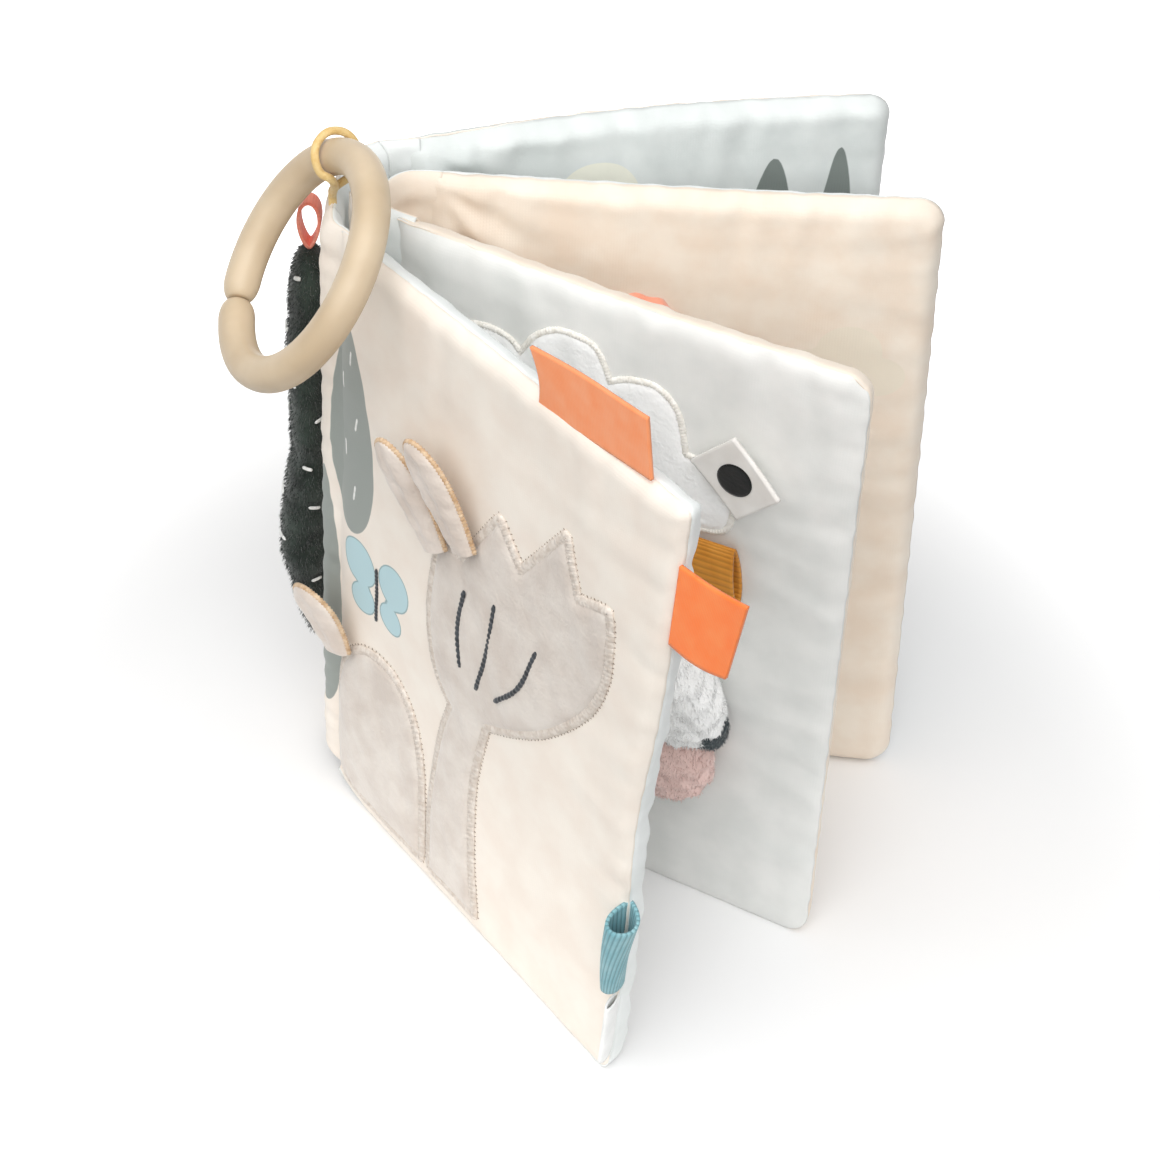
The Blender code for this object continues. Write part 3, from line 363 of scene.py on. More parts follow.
def leaf_cloth(name, leaf, side, prints):
    """One cloth face of a leaf over an eased grid of u and v. Places near an outer corner move onto
    its quarter circle, and the seam is drawn in by up to 0.25 mm between its gathers. Each print is
    stored as the signed distance from its outlines."""
    u, v = np.meshgrid(eased(FOOT, WIDTH, 132), eased(0.0, HEIGHT, 176))
    _, dv, a, b = corner_places(leaf, u, v)
    upward = np.where(v < HEIGHT / 2, 1, -1)
    reach = np.maximum(a, b) / np.maximum(np.hypot(a, b), 1e-9)
    both = (a > 0) & (b > 0)
    u = np.where(both, u - a + a * reach, u)
    v = np.where(both, v + upward * (b - b * reach), v)
    n = face_height(leaf, side, u, v)
    seed = LEAVES[leaf]["seed"]
    draw_u = 0.12 * (1.0 + ripple(v, seed + 3, (6.1, 9.7))) * np.exp(-(WIDTH - u) / 1.6)
    draw_v = 0.12 * (1.0 + ripple(u, seed + 4, (6.1, 9.7))) * np.exp(-dv / 1.6) * upward
    grid = on_leaf(leaf, u - draw_u, n, np.clip(v + draw_v * (v > 5.0), 0.0, None))
    item = surface(name, grid, np.stack([u, v], -1) / MAP_UNIT, flip=side > 0)
    for key, outlines in prints.items():
        add_field(item, key, u, v, outlines)
    return give_wall(item, CLOTH_WALL)


def add_field(item, key, u, v, outlines):
    """Stores the signed distance from the nearest of some outlines on each of a piece's points."""
    field = np.min([outline_distance(u, v, outline) for outline in outlines], axis=0)
    made = item.data.attributes.new(key, "FLOAT", "POINT")
    made.data.foreach_set("value", field.astype(np.float32).ravel())


# Materials

def linear(code):
    """sRGB hex to the linear values of a socket."""
    values = [int(code[i:i + 2], 16) / 255.0 for i in (1, 3, 5)]
    return (*[c / 12.92 if c <= 0.04045 else ((c + 0.055) / 1.055) ** 2.4 for c in values], 1.0)


def node(tree, kind, sockets=None, **settings):
    """Adds one node: settings are its properties; sockets are values, or outputs to link."""
    made = tree.nodes.new(kind)
    for key, value in settings.items():
        setattr(made, key, value)
    for key, value in (sockets or {}).items():
        if isinstance(value, bpy.types.NodeSocket):
            tree.links.new(value, made.inputs[key])
        else:
            made.inputs[key].default_value = value
    return made


def blank(name, roughness, sheen, specular=0.3):
    """A material with its Principled shader; colour and bump are linked by the caller."""
    made = bpy.data.materials.new(name)
    made.use_nodes = True
    tree = made.node_tree
    shader = tree.nodes["Principled BSDF"]
    shader.inputs["Roughness"].default_value = roughness
    shader.inputs["Sheen Weight"].default_value = sheen
    shader.inputs["Sheen Roughness"].default_value = 0.45
    shader.inputs["Specular IOR Level"].default_value = specular
    return made, tree, shader


def tinted(tree, vector, scale, low, high, detail=3.0):
    """Colour that wanders between two hex values with a noise of that scale."""
    noise = node(tree, "ShaderNodeTexNoise", {"Vector": vector, "Scale": scale, "Detail": detail})
    band = node(tree, "ShaderNodeMapRange", {"Value": noise.outputs["Fac"], "From Min": 0.35,
                                             "From Max": 0.65})
    mix = node(tree, "ShaderNodeMix", {0: band.outputs[0], 6: linear(low), 7: linear(high)},
               data_type="RGBA")
    return mix.outputs[2]


def printed(tree, base, prints):
    """Lays each print's colour over the cloth where its signed distance is below 0."""
    for key, code in prints.items():
        field = node(tree, "ShaderNodeAttribute", attribute_name=key)
        edge = node(tree, "ShaderNodeMapRange", {"Value": field.outputs["Fac"], "From Min": 0.12,
                                                 "From Max": -0.12})
        mix = node(tree, "ShaderNodeMix", {0: edge.outputs[0], 6: base, 7: linear(code)},
                   data_type="RGBA")
        base = mix.outputs[2]
    return base


def cotton_sateen(name, low, high, prints):
    """Cotton-polyester sateen, woven and printed: close thread gives a smooth face with a soft
    gleam. Its threads are 0.2 mm apart and drawn 0.7 mm apart, as coarse as the render shows;
    small creases 8 mm across run over it."""
    made, tree, shader = blank(name, 0.62, 0.15)
    place = node(tree, "ShaderNodeUVMap", uv_map="place").outputs[0]
    base = tinted(tree, place, 9.0, low, high)
    tree.links.new(printed(tree, base, prints), shader.inputs["Base Color"])
    warp, weft = [node(tree, "ShaderNodeTexWave", {"Vector": place, "Scale": 45.0, "Distortion": 0.4},
                       bands_direction=way) for way in "XY"]
    weave = node(tree, "ShaderNodeMath", {0: warp.outputs["Fac"], 1: weft.outputs["Fac"]},
                 operation="MULTIPLY")
    fine = node(tree, "ShaderNodeBump", {"Strength": 0.10, "Distance": 0.0002,
                                         "Height": weave.outputs[0]})
    crease = node(tree, "ShaderNodeTexNoise", {"Vector": place, "Scale": 11.0, "Detail": 3.0,
                                               "Roughness": 0.45})
    soft = node(tree, "ShaderNodeBump", {"Strength": 0.20, "Distance": 0.0012,
                                         "Height": crease.outputs["Fac"], "Normal": fine.outputs[0]})
    tree.links.new(soft.outputs[0], shader.inputs["Normal"])
    return made


def short_plush(name, low, high, pile=0.5):
    """Short-pile polyester plush, knitted and sheared: the pile lies in patches that read lighter
    or darker, and it is soft with sheen at grazing angles. Tufts are drawn pile mm across."""
    made, tree, shader = blank(name, 0.95, 0.45, 0.12)
    place = node(tree, "ShaderNodeTexCoord").outputs["Object"]
    tree.links.new(tinted(tree, place, 110.0, low, high, 5.0), shader.inputs["Base Color"])
    tufts = node(tree, "ShaderNodeTexNoise", {"Vector": place, "Scale": 1000.0 / pile / 2.0,
                                              "Detail": 2.0})
    nap = node(tree, "ShaderNodeTexNoise", {"Vector": place, "Scale": 160.0, "Detail": 3.0})
    fine = node(tree, "ShaderNodeBump", {"Strength": 0.45, "Distance": 0.0005,
                                         "Height": tufts.outputs["Fac"]})
    soft = node(tree, "ShaderNodeBump", {"Strength": 0.35, "Distance": 0.0012,
                                         "Height": nap.outputs["Fac"], "Normal": fine.outputs[0]})
    tree.links.new(soft.outputs[0], shader.inputs["Normal"])
    return made


def ribbed(name, low, high, pitch, depth, roughness):
    """Polyester ribbon, woven: ribs pitch mm apart cross it and catch the light in lines; the grooves
    between them carry painted shade, darker by depth in mm."""
    made, tree, shader = blank(name, roughness, 0.1, 0.4)
    place = node(tree, "ShaderNodeUVMap", uv_map="place").outputs[0]
    ribs = node(tree, "ShaderNodeTexWave", {"Vector": place, "Scale": 31.4 / pitch, "Distortion": 0.3},
                bands_direction="X")
    # Painted shade: the grooves are mixed towards a darker copy of the ribbon's colour
    groove = node(tree, "ShaderNodeMapRange", {"Value": ribs.outputs["Fac"], "From Min": 0.45,
                                               "From Max": 0.0, "To Max": min(1.0, 2.2 * depth)})
    groove_shade = (*[c * 0.45 for c in linear(low)[:3]], 1.0)
    shade = node(tree, "ShaderNodeMix", {0: groove.outputs[0], 6: tinted(tree, place, 14.0, low, high),
                                         7: groove_shade}, data_type="RGBA")
    tree.links.new(shade.outputs[2], shader.inputs["Base Color"])
    bump = node(tree, "ShaderNodeBump", {"Strength": 0.6, "Distance": depth * MM,
                                         "Height": ribs.outputs["Fac"]})
    tree.links.new(bump.outputs[0], shader.inputs["Normal"])
    return made


def grained(parts, low, high, patches, grain, strength, depth):
    """Colour patches and a fine bump on a blank material, for a piece with no map of its own.
    patches and grain are the scales of both noises per metre; depth is in millimetres."""
    made, tree, shader = parts
    place = node(tree, "ShaderNodeTexCoord").outputs["Object"]
    tree.links.new(tinted(tree, place, patches, low, high), shader.inputs["Base Color"])
    noise = node(tree, "ShaderNodeTexNoise", {"Vector": place, "Scale": grain, "Detail": 2.0})
    bump = node(tree, "ShaderNodeBump", {"Strength": strength, "Distance": depth * MM,
                                         "Height": noise.outputs["Fac"]})
    tree.links.new(bump.outputs[0], shader.inputs["Normal"])
    return made


def twisted_thread(name, low, high):
    """Embroidery thread, twisted polyester: stitches lie side by side, and each catches a glint."""
    return grained(blank(name, 0.6, 0.3, 0.35), low, high, 700.0, 1500.0, 0.5, 0.3)


def plain_cloth(name, low, high):
    """Cotton or felt on a piece with no map of its own: fine noise stands for its fibres."""
    return grained(blank(name, 0.85, 0.2, 0.2), low, high, 120.0, 900.0, 0.3, 0.3)


def silicone(name, low, high):
    """Food-grade silicone, moulded: matt, a little translucent, with a broad soft highlight."""
    parts = blank(name, 0.42, 0.0, 0.45)
    shader = parts[2]
    shader.inputs["Subsurface Weight"].default_value = 0.12
    shader.inputs["Subsurface Radius"].default_value = (0.004, 0.003, 0.002)
    shader.inputs["Subsurface Scale"].default_value = 1.0
    return grained(parts, low, high, 60.0, 220.0, 0.12, 0.4)


GREIGE = short_plush("greige_short_plush", "#D2C7BD", "#E1D9D0")
PETAL_PLUSH = short_plush("petal_short_plush", "#D6C8BC", "#E7DCD2")
WHITE_PLUSH = short_plush("white_short_plush", "#F3F3F2", "#FCFCFB")
PINK_PLUSH = short_plush("pink_short_plush", "#DDBDB5", "#ECCFC8", 0.8)
GREY_PLUSH = short_plush("grey_short_plush", "#333D40", "#4D575A", 0.8)
GREEN_PLUSH = short_plush("green_short_plush", "#1F2622", "#3B463F", 0.9)
CORAL_PLUSH = short_plush("coral_short_plush", "#F2A186", "#FBB9A2")
BEIGE_THREAD = twisted_thread("beige_thread", "#D8CBBE", "#EDE4DA")
UMBER_THREAD = twisted_thread("umber_thread", "#7F6E5E", "#A59482")
CREAM_THREAD = twisted_thread("cream_thread", "#E9E5DC", "#F8F5EF")
TAN_THREAD = twisted_thread("tan_thread", "#C09C76", "#E0C6A6")
DARK_THREAD = twisted_thread("dark_thread", "#1F2226", "#3A3F44")
WHITE_THREAD = twisted_thread("white_thread", "#DDDEDA", "#F7F7F4")
ORANGE = ribbed("orange_satin_ribbon", "#FF8038", "#FF8C48", 0.5, 0.04, 0.5)
PALE_ORANGE = ribbed("pale_orange_satin_ribbon", "#FF9960", "#FFA574", 0.5, 0.04, 0.5)
TEAL = ribbed("teal_grosgrain", "#7DB2BC", "#9AC5CC", 1.2, 0.30, 0.7)
MUSTARD = ribbed("mustard_grosgrain", "#C67F22", "#D69136", 1.1, 0.16, 0.65)
CORAL = ribbed("coral_ribbon", "#FF8E76", "#FFA793", 0.9, 0.06, 0.6)
WHITE_RIBBON = ribbed("white_satin_ribbon", "#EDEEEC", "#FAFAF8", 0.5, 0.03, 0.45)
FELT = plain_cloth("off_white_felt", "#EDE9E4", "#F6F3EF")
BLACK_FELT = plain_cloth("black_felt_dot", "#121212", "#1E1E1D")
CREAM_CLOTH = plain_cloth("cream_cloth", "#F0E6DB", "#F5ECE2")
MINT_CLOTH = plain_cloth("mint_cloth", "#E6EAE8", "#EFF2F1")
RING = silicone("beige_silicone_ring", "#C3AE90", "#D1BEA2")
GOLD = twisted_thread("gold_cord_thread", "#DDBA78", "#E7CA8E")

# Two hex values that the printed cloths' colour wanders between
CREAM_TONES = ("#F1E6DA", "#F5EDE2")
MINT_TONES = ("#E6EAE8", "#EFF2F1")
PEACH_TONES = ("#EEDFCE", "#F3E9DB")


def finish_piece(item, material, body, stands_for=()):
    """Gives a piece its material, the body that it rides on and the nodes it stands for."""
    item.data.materials.clear()
    item.data.materials.append(material)
    if body:
        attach(item, body)
    if stands_for:
        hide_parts(*stands_for)
    return item


# Prints: outlines in millimetres on the leaf

def drop(centre, length, width, turn=0.0):
    """A rounded drop: an ellipse that narrows towards its upper end."""
    a = np.linspace(0.0, 2.0 * np.pi, 44, endpoint=False)
    y = np.sin(a)
    x = np.cos(a) * (1.0 - 0.28 * y)
    return np.stack(turned(centre, x * width / 2.0, y * length / 2.0, turn), -1)


def puff(centre, size):
    """A small cloud: three ovals side by side."""
    u, v = centre
    return [oval((u + across * size, v + up * size), (wide * size, high * size))
            for across, up, wide, high in ((-0.55, 0.0, 0.5, 0.36), (0.55, -0.04, 0.55, 0.34),
                                           (0.0, 0.16, 0.58, 0.5))]


def wings(wider):
    """Four ovals that fan out from a small body."""
    return [oval(centre, (across + wider, up + wider), turn) for centre, across, up, turn in (
        ((17.0, 82.0), 6.6, 6.0, -25.0), ((31.6, 83.5), 6.2, 6.0, 25.0),
        ((18.8, 71.8), 4.7, 4.2, 20.0), ((30.4, 73.0), 4.4, 4.0, -20.0))]


FRONT_PRINTS = {
    "grove": [drop((12.2, 119.0), 60.0, 18.5, 2.0), drop((0.0, 62.0), 78.0, 12.0)],
    "wings_line": wings(0.35),
    "wings": wings(0.0),
}
FRONT_INKS = {"grove": "#979D98", "wings_line": "#8AA7AC", "wings": "#B9D6DC"}
PAGE_B_PRINTS = {
    "far_cloud": [oval((100.0, 124.0), (9.0, 6.0)), oval((107.0, 129.5), (8.0, 7.5)),
                  oval((114.0, 123.0), (7.0, 5.5))],
    "drops": [drop((27.0, 128.0), 30.0, 13.0), drop((41.0, 112.0), 34.0, 15.0)],
}
PAGE_B_INKS = {"far_cloud": "#EDE4D3", "drops": "#F4E8CE"}
BACK_PRINTS = {
    "moon": [oval((53.0, 148.0), (11.0, 11.0))],
    "trees": [drop((97.5, 118.0), 76.0, 16.0), drop((114.0, 122.0), 72.0, 11.0),
              drop((80.0, 98.0), 60.0, 15.0)],
}
BACK_INKS = {"moon": "#F1F0E2", "trees": "#7D8581"}
CLOUD_PRINTS = {
    "far_cloud": puff((40.0, 128.0), 17.0) + puff((88.0, 96.0), 21.0) + puff((46.0, 58.0), 15.0),
}
CLOUD_INKS = {"far_cloud": "#F4F5F2"}
DOT_PRINTS = {"dots": [oval((24.0 + 26.0 * i + 13.0 * (j % 2), 22.0 + 25.0 * j), (3.2, 3.2), 0.0, 24)
                       for i in range(4) for j in range(6)]}
DOT_INKS = {"dots": "#DFC7B2"}
OUTER_PRINTS = {
    "trees": [drop((30.0, 46.0), 78.0, 22.0), drop((52.0, 36.0), 60.0, 18.0),
              drop((104.0, 40.0), 66.0, 20.0)],
    "moon": [oval((88.0, 128.0), (15.0, 15.0))],
}
OUTER_INKS = {"trees": "#979D98", "moon": "#B9D6DC"}

CLOTHS = (
    ("front_cover_face", "front_cover", -1, "cream_cotton", CREAM_TONES, FRONT_PRINTS, FRONT_INKS,
     ("front_cover_outer_cloth", "front_cover_wadding")),
    ("front_cover_back", "front_cover", 1, "mint_cotton", MINT_TONES, CLOUD_PRINTS, CLOUD_INKS,
     ("front_cover_inner_cloth", "front_cover_crackle_film")),
    ("page_a_face", "page_a", -1, "mint_cotton", ("#E1E2DF", "#E9E9E6"), {}, {},
     ("page_a_outer_cloth", "page_a_wadding")),
    ("page_a_back", "page_a", 1, "peach_cotton", PEACH_TONES, DOT_PRINTS, DOT_INKS,
     ("page_a_inner_cloth",)),
    ("page_b_face", "page_b", -1, "peach_cotton", PEACH_TONES, PAGE_B_PRINTS, PAGE_B_INKS,
     ("page_b_outer_cloth", "page_b_wadding")),
    ("page_b_back", "page_b", 1, "mint_cotton", MINT_TONES, CLOUD_PRINTS, CLOUD_INKS,
     ("page_b_inner_cloth", "page_b_crackle_film")),
    ("back_cover_face", "back_cover", -1, "mint_cotton", ("#DBE0DE", "#E5E9E7"), BACK_PRINTS,
     BACK_INKS, ("back_cover_outer_cloth", "back_cover_wadding")),
    ("back_cover_back", "back_cover", 1, "cream_cotton", CREAM_TONES, OUTER_PRINTS, OUTER_INKS,
     ("back_cover_inner_cloth",)),
)


def make_leaves():
    """The two cloth faces of each leaf, puffed up over the wadding and drawn in at the seam."""
    for name, leaf, side, slot, tones, prints, inks, nodes in CLOTHS:
        item = leaf_cloth(name, leaf, side, prints)
        finish = cotton_sateen(name + "_sateen", *tones, inks)
        finish_piece(item, finish, leaf, nodes)


# Spine and the cloths that bend beside it

# The wall of the cloths that bend. The least width that counts as a sheet
BEND_WALL = 0.6
# The spine's height and its outer cloth in plan
SPINE_TOP = 169.2
SPINE_OUTER = [(-10.98, -11.39), (-11.37, -6.51), (-11.5, -1.36), (-10.83, 4.63), (-9.89, 10.89)]


def upright(path, heights):
    """A grid of points: the path in plan at each height."""
    grid = np.zeros((len(heights), len(path), 3))
    grid[..., :2] = path
    grid[..., 2] = np.asarray(heights)[:, None]
    return grid


def make_spine():
    """The spine's outer cloth and lining: the plan's path is moved out on both sides of the middle
    by a crown that falls to the seam at the ends, top and bottom, with gathers along them."""
    path, run = even_steps(curve_through(SPINE_OUTER, 8), 0.7)
    side_way = path_normals(path)
    heights = eased(0.0, SPINE_TOP, 150)
    t = run / run[-1]
    d_end = np.minimum(run, run[-1] - run)[None, :] + 0.6
    d_top = np.minimum(heights, SPINE_TOP - heights)[:, None]
    rim = rounded(d_end, 4.0, 2.4) * rounded(d_top, 6.0, 2.4)
    for name, side, finish, slot, nodes in (
            ("spine_face", -1, CREAM_CLOTH, "cream_cotton", ("spine_outer_cloth", "spine_wadding")),
            ("spine_lining_cloth", 1, MINT_CLOTH, "mint_cotton", ("spine_lining",))):
        wave = 0.25 * ripple(heights, 71 + side, (7.0, 12.0, 31.0))[:, None] * np.sin(np.pi * t)
        depth = 2.4 + side * (0.3 + 2.1 * rim + wave * rim)
        grid = upright(path, heights)
        grid[..., :2] += side_way[None] * depth[..., None]
        grid[..., 2] = raised(run[None, :] * 1.4 - 9.0, grid[..., 2])
        item = give_wall(surface(name, grid, flip=side < 0), CLOTH_WALL)
        finish_piece(item, finish, "spine", nodes)


def bent_cloth(name, points, partner, finish, bodies, stands_for, seed, prints):
    """Cloth that bends between two bodies: its plan is a smooth curve, carried up the book, with
    small folds across it that fade at its ends. Towards the top and bottom it closes onto the line
    midway to its partner, as the leaf's faces close onto their seam."""
    path, run = even_steps(curve_through(points, 8), 0.6)
    other, _ = even_steps(curve_through(partner, 8), 0.1)
    other = other[np.round(np.linspace(0, len(other) - 1, len(path))).astype(int)]
    away = path_normals(path)
    heights = eased(0.0, HEIGHT, 170)
    share = run / run[-1]
    fold = 0.22 * ripple(heights, seed, (6.0, 9.0, 23.0))[:, None] * np.sin(np.pi * share)
    near = unit(1.0 - np.minimum(heights, HEIGHT - heights) / 6.5) ** 3.6
    grid = upright(path, heights)
    grid[..., :2] += away[None] * (fold * (1.0 - near[:, None]))[..., None]
    grid[..., :2] += (other - path)[None] / 2.0 * near[:, None, None]
    place = np.broadcast_to(FOOT + 3.5 - (run[-1] - run)[None, :], fold.shape)
    up = np.broadcast_to(heights[:, None], fold.shape)
    if "front_cover" in bodies:
        grid[..., 2] = raised(place, up)
    item = surface(name, grid, np.stack([place, up], -1) / MAP_UNIT)
    for key, outlines in prints.items():
        add_field(item, key, place, up, outlines)
    give_wall(item, BEND_WALL, 0.0)
    finish_piece(item, finish, None, stands_for)
    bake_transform(item)


# Each bend in plan: the outer cloth's line and the lining's, both in the same direction
BENDS = {
    "front": ([(-10.9, -10.4), (-10.95, -13.6), (-10.8, -16.4), (-9.3, -18.7), (-6.4, -20.5),
               (-4.3, -23.3)],
              [(-6.5, -11.5), (-5.6, -14.6), (-3.66, -18.25), (-1.4, -20.8)]),
    "back": ([(-9.8, 10.2), (-8.4, 13.6), (-6.2, 17.2), (-3.4, 19.9)],
             [(-5.6, 10.6), (-1.9, 13.4), (1.8, 16.1)]),
    "back_end": ([(-3.4, 19.9), (-0.6, 20.7), (2.4, 20.9), (4.8, 21.1), (8.1, 22.2)],
                 [(1.8, 16.1), (5.75, 17.75), (9.2, 18.6)]),
    "fold_a": ([(9.74, -15.07), (6.66, -13.4), (3.4, -11.2), (1.5, -8.4), (0.9, -5.4), (0.8, -2.5)],
               [(11.4, -11.7), (8.2, -10.25), (5.6, -8.9), (4.0, -7.0), (2.9, -4.8), (2.7, -2.5)]),
    "fold_b": ([(0.8, -2.5), (1.6, 1.0), (3.4, 4.8), (6.6, 7.6), (11.6, 8.2), (15.1, 8.3)],
               [(2.7, -2.5), (3.3, -0.4), (4.7, 1.9), (7.2, 3.9), (11.5, 4.72), (15.0, 4.5)]),
}


def make_bends():
    """Outer cloth and lining from the spine to each cover, and the pages' fold over its tape."""
    cream = cotton_sateen("front_bend_sateen", *CREAM_TONES, {"grove": FRONT_INKS["grove"]})
    plain = cotton_sateen("back_bend_sateen", *CREAM_TONES, {})
    mint = cotton_sateen("bend_lining_sateen", *MINT_TONES, {})
    peach = cotton_sateen("page_fold_sateen", *PEACH_TONES, {})
    grove = {"grove": FRONT_PRINTS["grove"]}
    front, back = ("spine", "front_cover"), ("spine", "page_b")
    page, cover = ("page_a", "spine"), ("page_b", "back_cover")
    made = (
        ("front_bend", "front", 0, cream, "cream_cotton", front, ("front_hinge_cloth",), grove),
        ("front_bend_lining", "front", 1, mint, "mint_cotton", front, ("front_hinge_lining",), {}),
        ("back_bend", "back", 0, plain, "cream_cotton", back, ("back_hinge_cloth",), {}),
        ("back_bend_lining", "back", 1, mint, "mint_cotton", back, ("back_hinge_lining",), {}),
        ("back_bend_end", "back_end", 0, plain, "cream_cotton", cover, (), {}),
        ("back_lining_end", "back_end", 1, mint, "mint_cotton", cover, (), {}),
        ("page_fold_a", "fold_a", 1, peach, "peach_cotton", page, ("page_fold_cloth",), {}),
        ("fold_lining_a", "fold_a", 0, mint, "mint_cotton", page, (), {}),
        ("page_fold_b", "fold_b", 1, peach, "peach_cotton", back, (), {}),
        ("fold_lining_b", "fold_b", 0, mint, "mint_cotton", back, (), {}),
    )
    for k, (name, key, which, finish, slot, bodies, nodes, prints) in enumerate(made):
        lines = BENDS[key]
        bent_cloth(name, lines[which], lines[1 - which], finish, bodies, nodes, 5 + k, prints)


def make_tape():
    """The cotton tape that holds the pages' fold to the spine: a straight strip in plan, carried up
    the spine, with a shallow wave across it that fades at both of its sewn edges."""
    low, high = [np.asarray(corner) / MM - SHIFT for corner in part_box("binding_tape")]
    share = np.linspace(0.0, 1.0, 24)
    middle = np.full(len(share), (low[1] + high[1]) / 2.0)
    path = np.stack([low[0] + (high[0] - low[0]) * share, middle], -1)
    heights = eased(low[2], high[2], 130)
    grid = upright(path, heights)
    grid[..., 1] += 0.18 * ripple(heights, 12, (8.0, 15.0))[:, None] * np.sin(np.pi * share)
    item = surface("tape_strip", grid)
    give_wall(item, high[1] - low[1], 0.0)
    finish_piece(item, CREAM_CLOTH, "spine", ("binding_tape",))


# Patches, stitches and flaps on a leaf

# A patch's wall and the step of the grid that it is cut from
PATCH_WALL = 0.5
PATCH_GRID = 0.9


def patch(name, leaf, side, outline, pile, swell):
    """A cloth patch on a leaf: the grid cells inside the outline, with the outer points drawn onto
    it along the distance's slope. It rises from its edge by pile on a round and swells more
    towards its middle, with small hollows."""
    low, high = outline.min(0) - 2.0, outline.max(0) + 2.0
    u, v = np.meshgrid(*[np.arange(low[k], high[k], PATCH_GRID) for k in (0, 1)])
    d = outline_distance(u, v, outline)
    slope_v, slope_u = np.gradient(d, PATCH_GRID)
    size = np.maximum(np.hypot(slope_u, slope_v), 0.5)
    middle = (d[:-1, :-1] + d[1:, :-1] + d[:-1, 1:] + d[1:, 1:]) / 4.0
    cells = quads(*u.shape)[middle < 0.0]
    outer = d > -0.3 * PATCH_GRID
    u = np.where(outer, u - d * slope_u / size ** 2, u)
    v = np.where(outer, v - d * slope_v / size ** 2, v)
    depth = np.where(outer, 0.0, -d)
    lift = pile * rounded(depth, 2.4, 2) + swell * rounded(depth, 20.0, 2)
    lift = lift + 0.12 * ripple(u + 0.6 * v, 5, (9.0, 14.0, 23.0)) * unit(depth / 5.0)
    used, faces = np.unique(cells, return_inverse=True)
    points = on_face(leaf, side, u, v, lift + 0.1).reshape(-1, 3)[used]
    uv = np.stack([u, v], -1).reshape(-1, 2)[used] / MAP_UNIT
    faces = faces.reshape(-1, 4)
    item = mesh_piece(name, points, faces if side < 0 else faces[:, ::-1], uv)
    return give_wall(item, PATCH_WALL)


def stitched_band(name, place, path, width, height, pitch, closed=True):
    """Satin stitch along a path: a low round band whose height and edges step with each stitch.
    place(u, v, lift) puts a point on what carries it; the section is a half round with a flat
    foot, carried along the path at even steps."""
    path, run = even_steps(path, 0.28, closed)
    away = path_normals(path, closed)
    turn = np.linspace(0.0, np.pi, 8)
    across = np.concatenate([np.cos(turn), [-0.7, 0.0, 0.7], [1.0]])
    rise = np.concatenate([np.sin(turn), [-0.35, -0.4, -0.35], [0.0]])
    count = max(3, round(run[-1] / pitch))
    stitch = 2.0 * np.pi * count * run / run[-1]
    ridge = 1.0 + 0.30 * np.cos(stitch[:, None] + 1.1 * across[None, :])
    edge = 1.0 + 0.10 * np.cos(stitch)[:, None] + 0.06 * ripple(run, 3, (3.1, 7.3))[:, None]
    if not closed:
        tail = unit(np.minimum(run, run[-1] - run) / (width * 0.5))[:, None] ** 0.5
        edge, ridge = edge * tail, ridge * tail
    u, v = [path[:, k, None] + away[:, k, None] * across * width / 2.0 * edge for k in (0, 1)]
    grid = place(u, v, rise * height * ridge + 0.08)
    uv = np.stack(np.broadcast_arrays(run[:, None], across), -1)
    if closed:
        grid[-1] = grid[0]
    return surface(name, grid, uv / MAP_UNIT)


def dashes(name, place, spots, width, height, along=9, across=5):
    """Short straight stitches: each is a small round-ended dome, along by across points, whose half
    width follows a half ellipse at its ends. A spot is its two coordinates, turn and length."""
    t = np.linspace(-1.0, 1.0, along)
    w = np.linspace(-1.0, 1.0, across)
    y = (width / 2.0 * np.sqrt(unit(1.0 - np.abs(t) ** 6)))[:, None] * w
    bulge = height * np.sqrt(unit(1.0 - w ** 2)) * unit((1.0 - np.abs(t[:, None])) * 6.0) - 0.05
    grids = []
    for p, q, turn, length in spots:
        x = t[:, None] * length / 2.0 + 0.0 * w
        grids.append(place(*turned((p, q), x, y, turn), bulge).reshape(-1, 3))
    starts = np.arange(len(spots))[:, None, None] * along * across
    faces = (quads(along, across).reshape(-1, 4)[:, ::-1] + starts).reshape(-1, 4)
    return give_wall(mesh_piece(name, np.vstack(grids), faces), 0.15)


def on_cover(u, v, lift):
    return on_face("front_cover", -1, u, v, lift)


def on_page(u, v, lift):
    return on_face("page_a", -1, u, v, lift)


def shares(points):
    """Shares of a leaf's width and height as millimetres."""
    return np.asarray(points, float) * (WIDTH, HEIGHT)


HILL = shares(((0.055, 0.036), (0.055, 0.180), (0.085, 0.270), (0.155, 0.325), (0.245, 0.330),
               (0.315, 0.290), (0.355, 0.215), (0.368, 0.130), (0.370, 0.036)))
TULIP = shares(((0.400, 0.036), (0.398, 0.160), (0.418, 0.300), (0.450, 0.385), (0.398, 0.430),
                (0.372, 0.515), (0.376, 0.600), (0.392, 0.668), (0.458, 0.655), (0.560, 0.775),
                (0.625, 0.718), (0.735, 0.835), (0.778, 0.752), (0.866, 0.780), (0.874, 0.680),
                (0.835, 0.590), (0.745, 0.505), (0.650, 0.450), (0.560, 0.410), (0.528, 0.290),
                (0.540, 0.150), (0.562, 0.036)))
CLOUD = shares(((0.110, 0.775), (0.150, 0.845), (0.215, 0.884), (0.285, 0.884), (0.320, 0.866),
                (0.355, 0.906), (0.415, 0.928), (0.475, 0.920), (0.508, 0.874), (0.555, 0.890),
                (0.600, 0.890), (0.645, 0.862), (0.667, 0.800), (0.728, 0.788), (0.766, 0.745),
                (0.758, 0.700), (0.715, 0.686), (0.640, 0.684), (0.540, 0.692), (0.420, 0.700),
                (0.300, 0.694), (0.175, 0.705)))


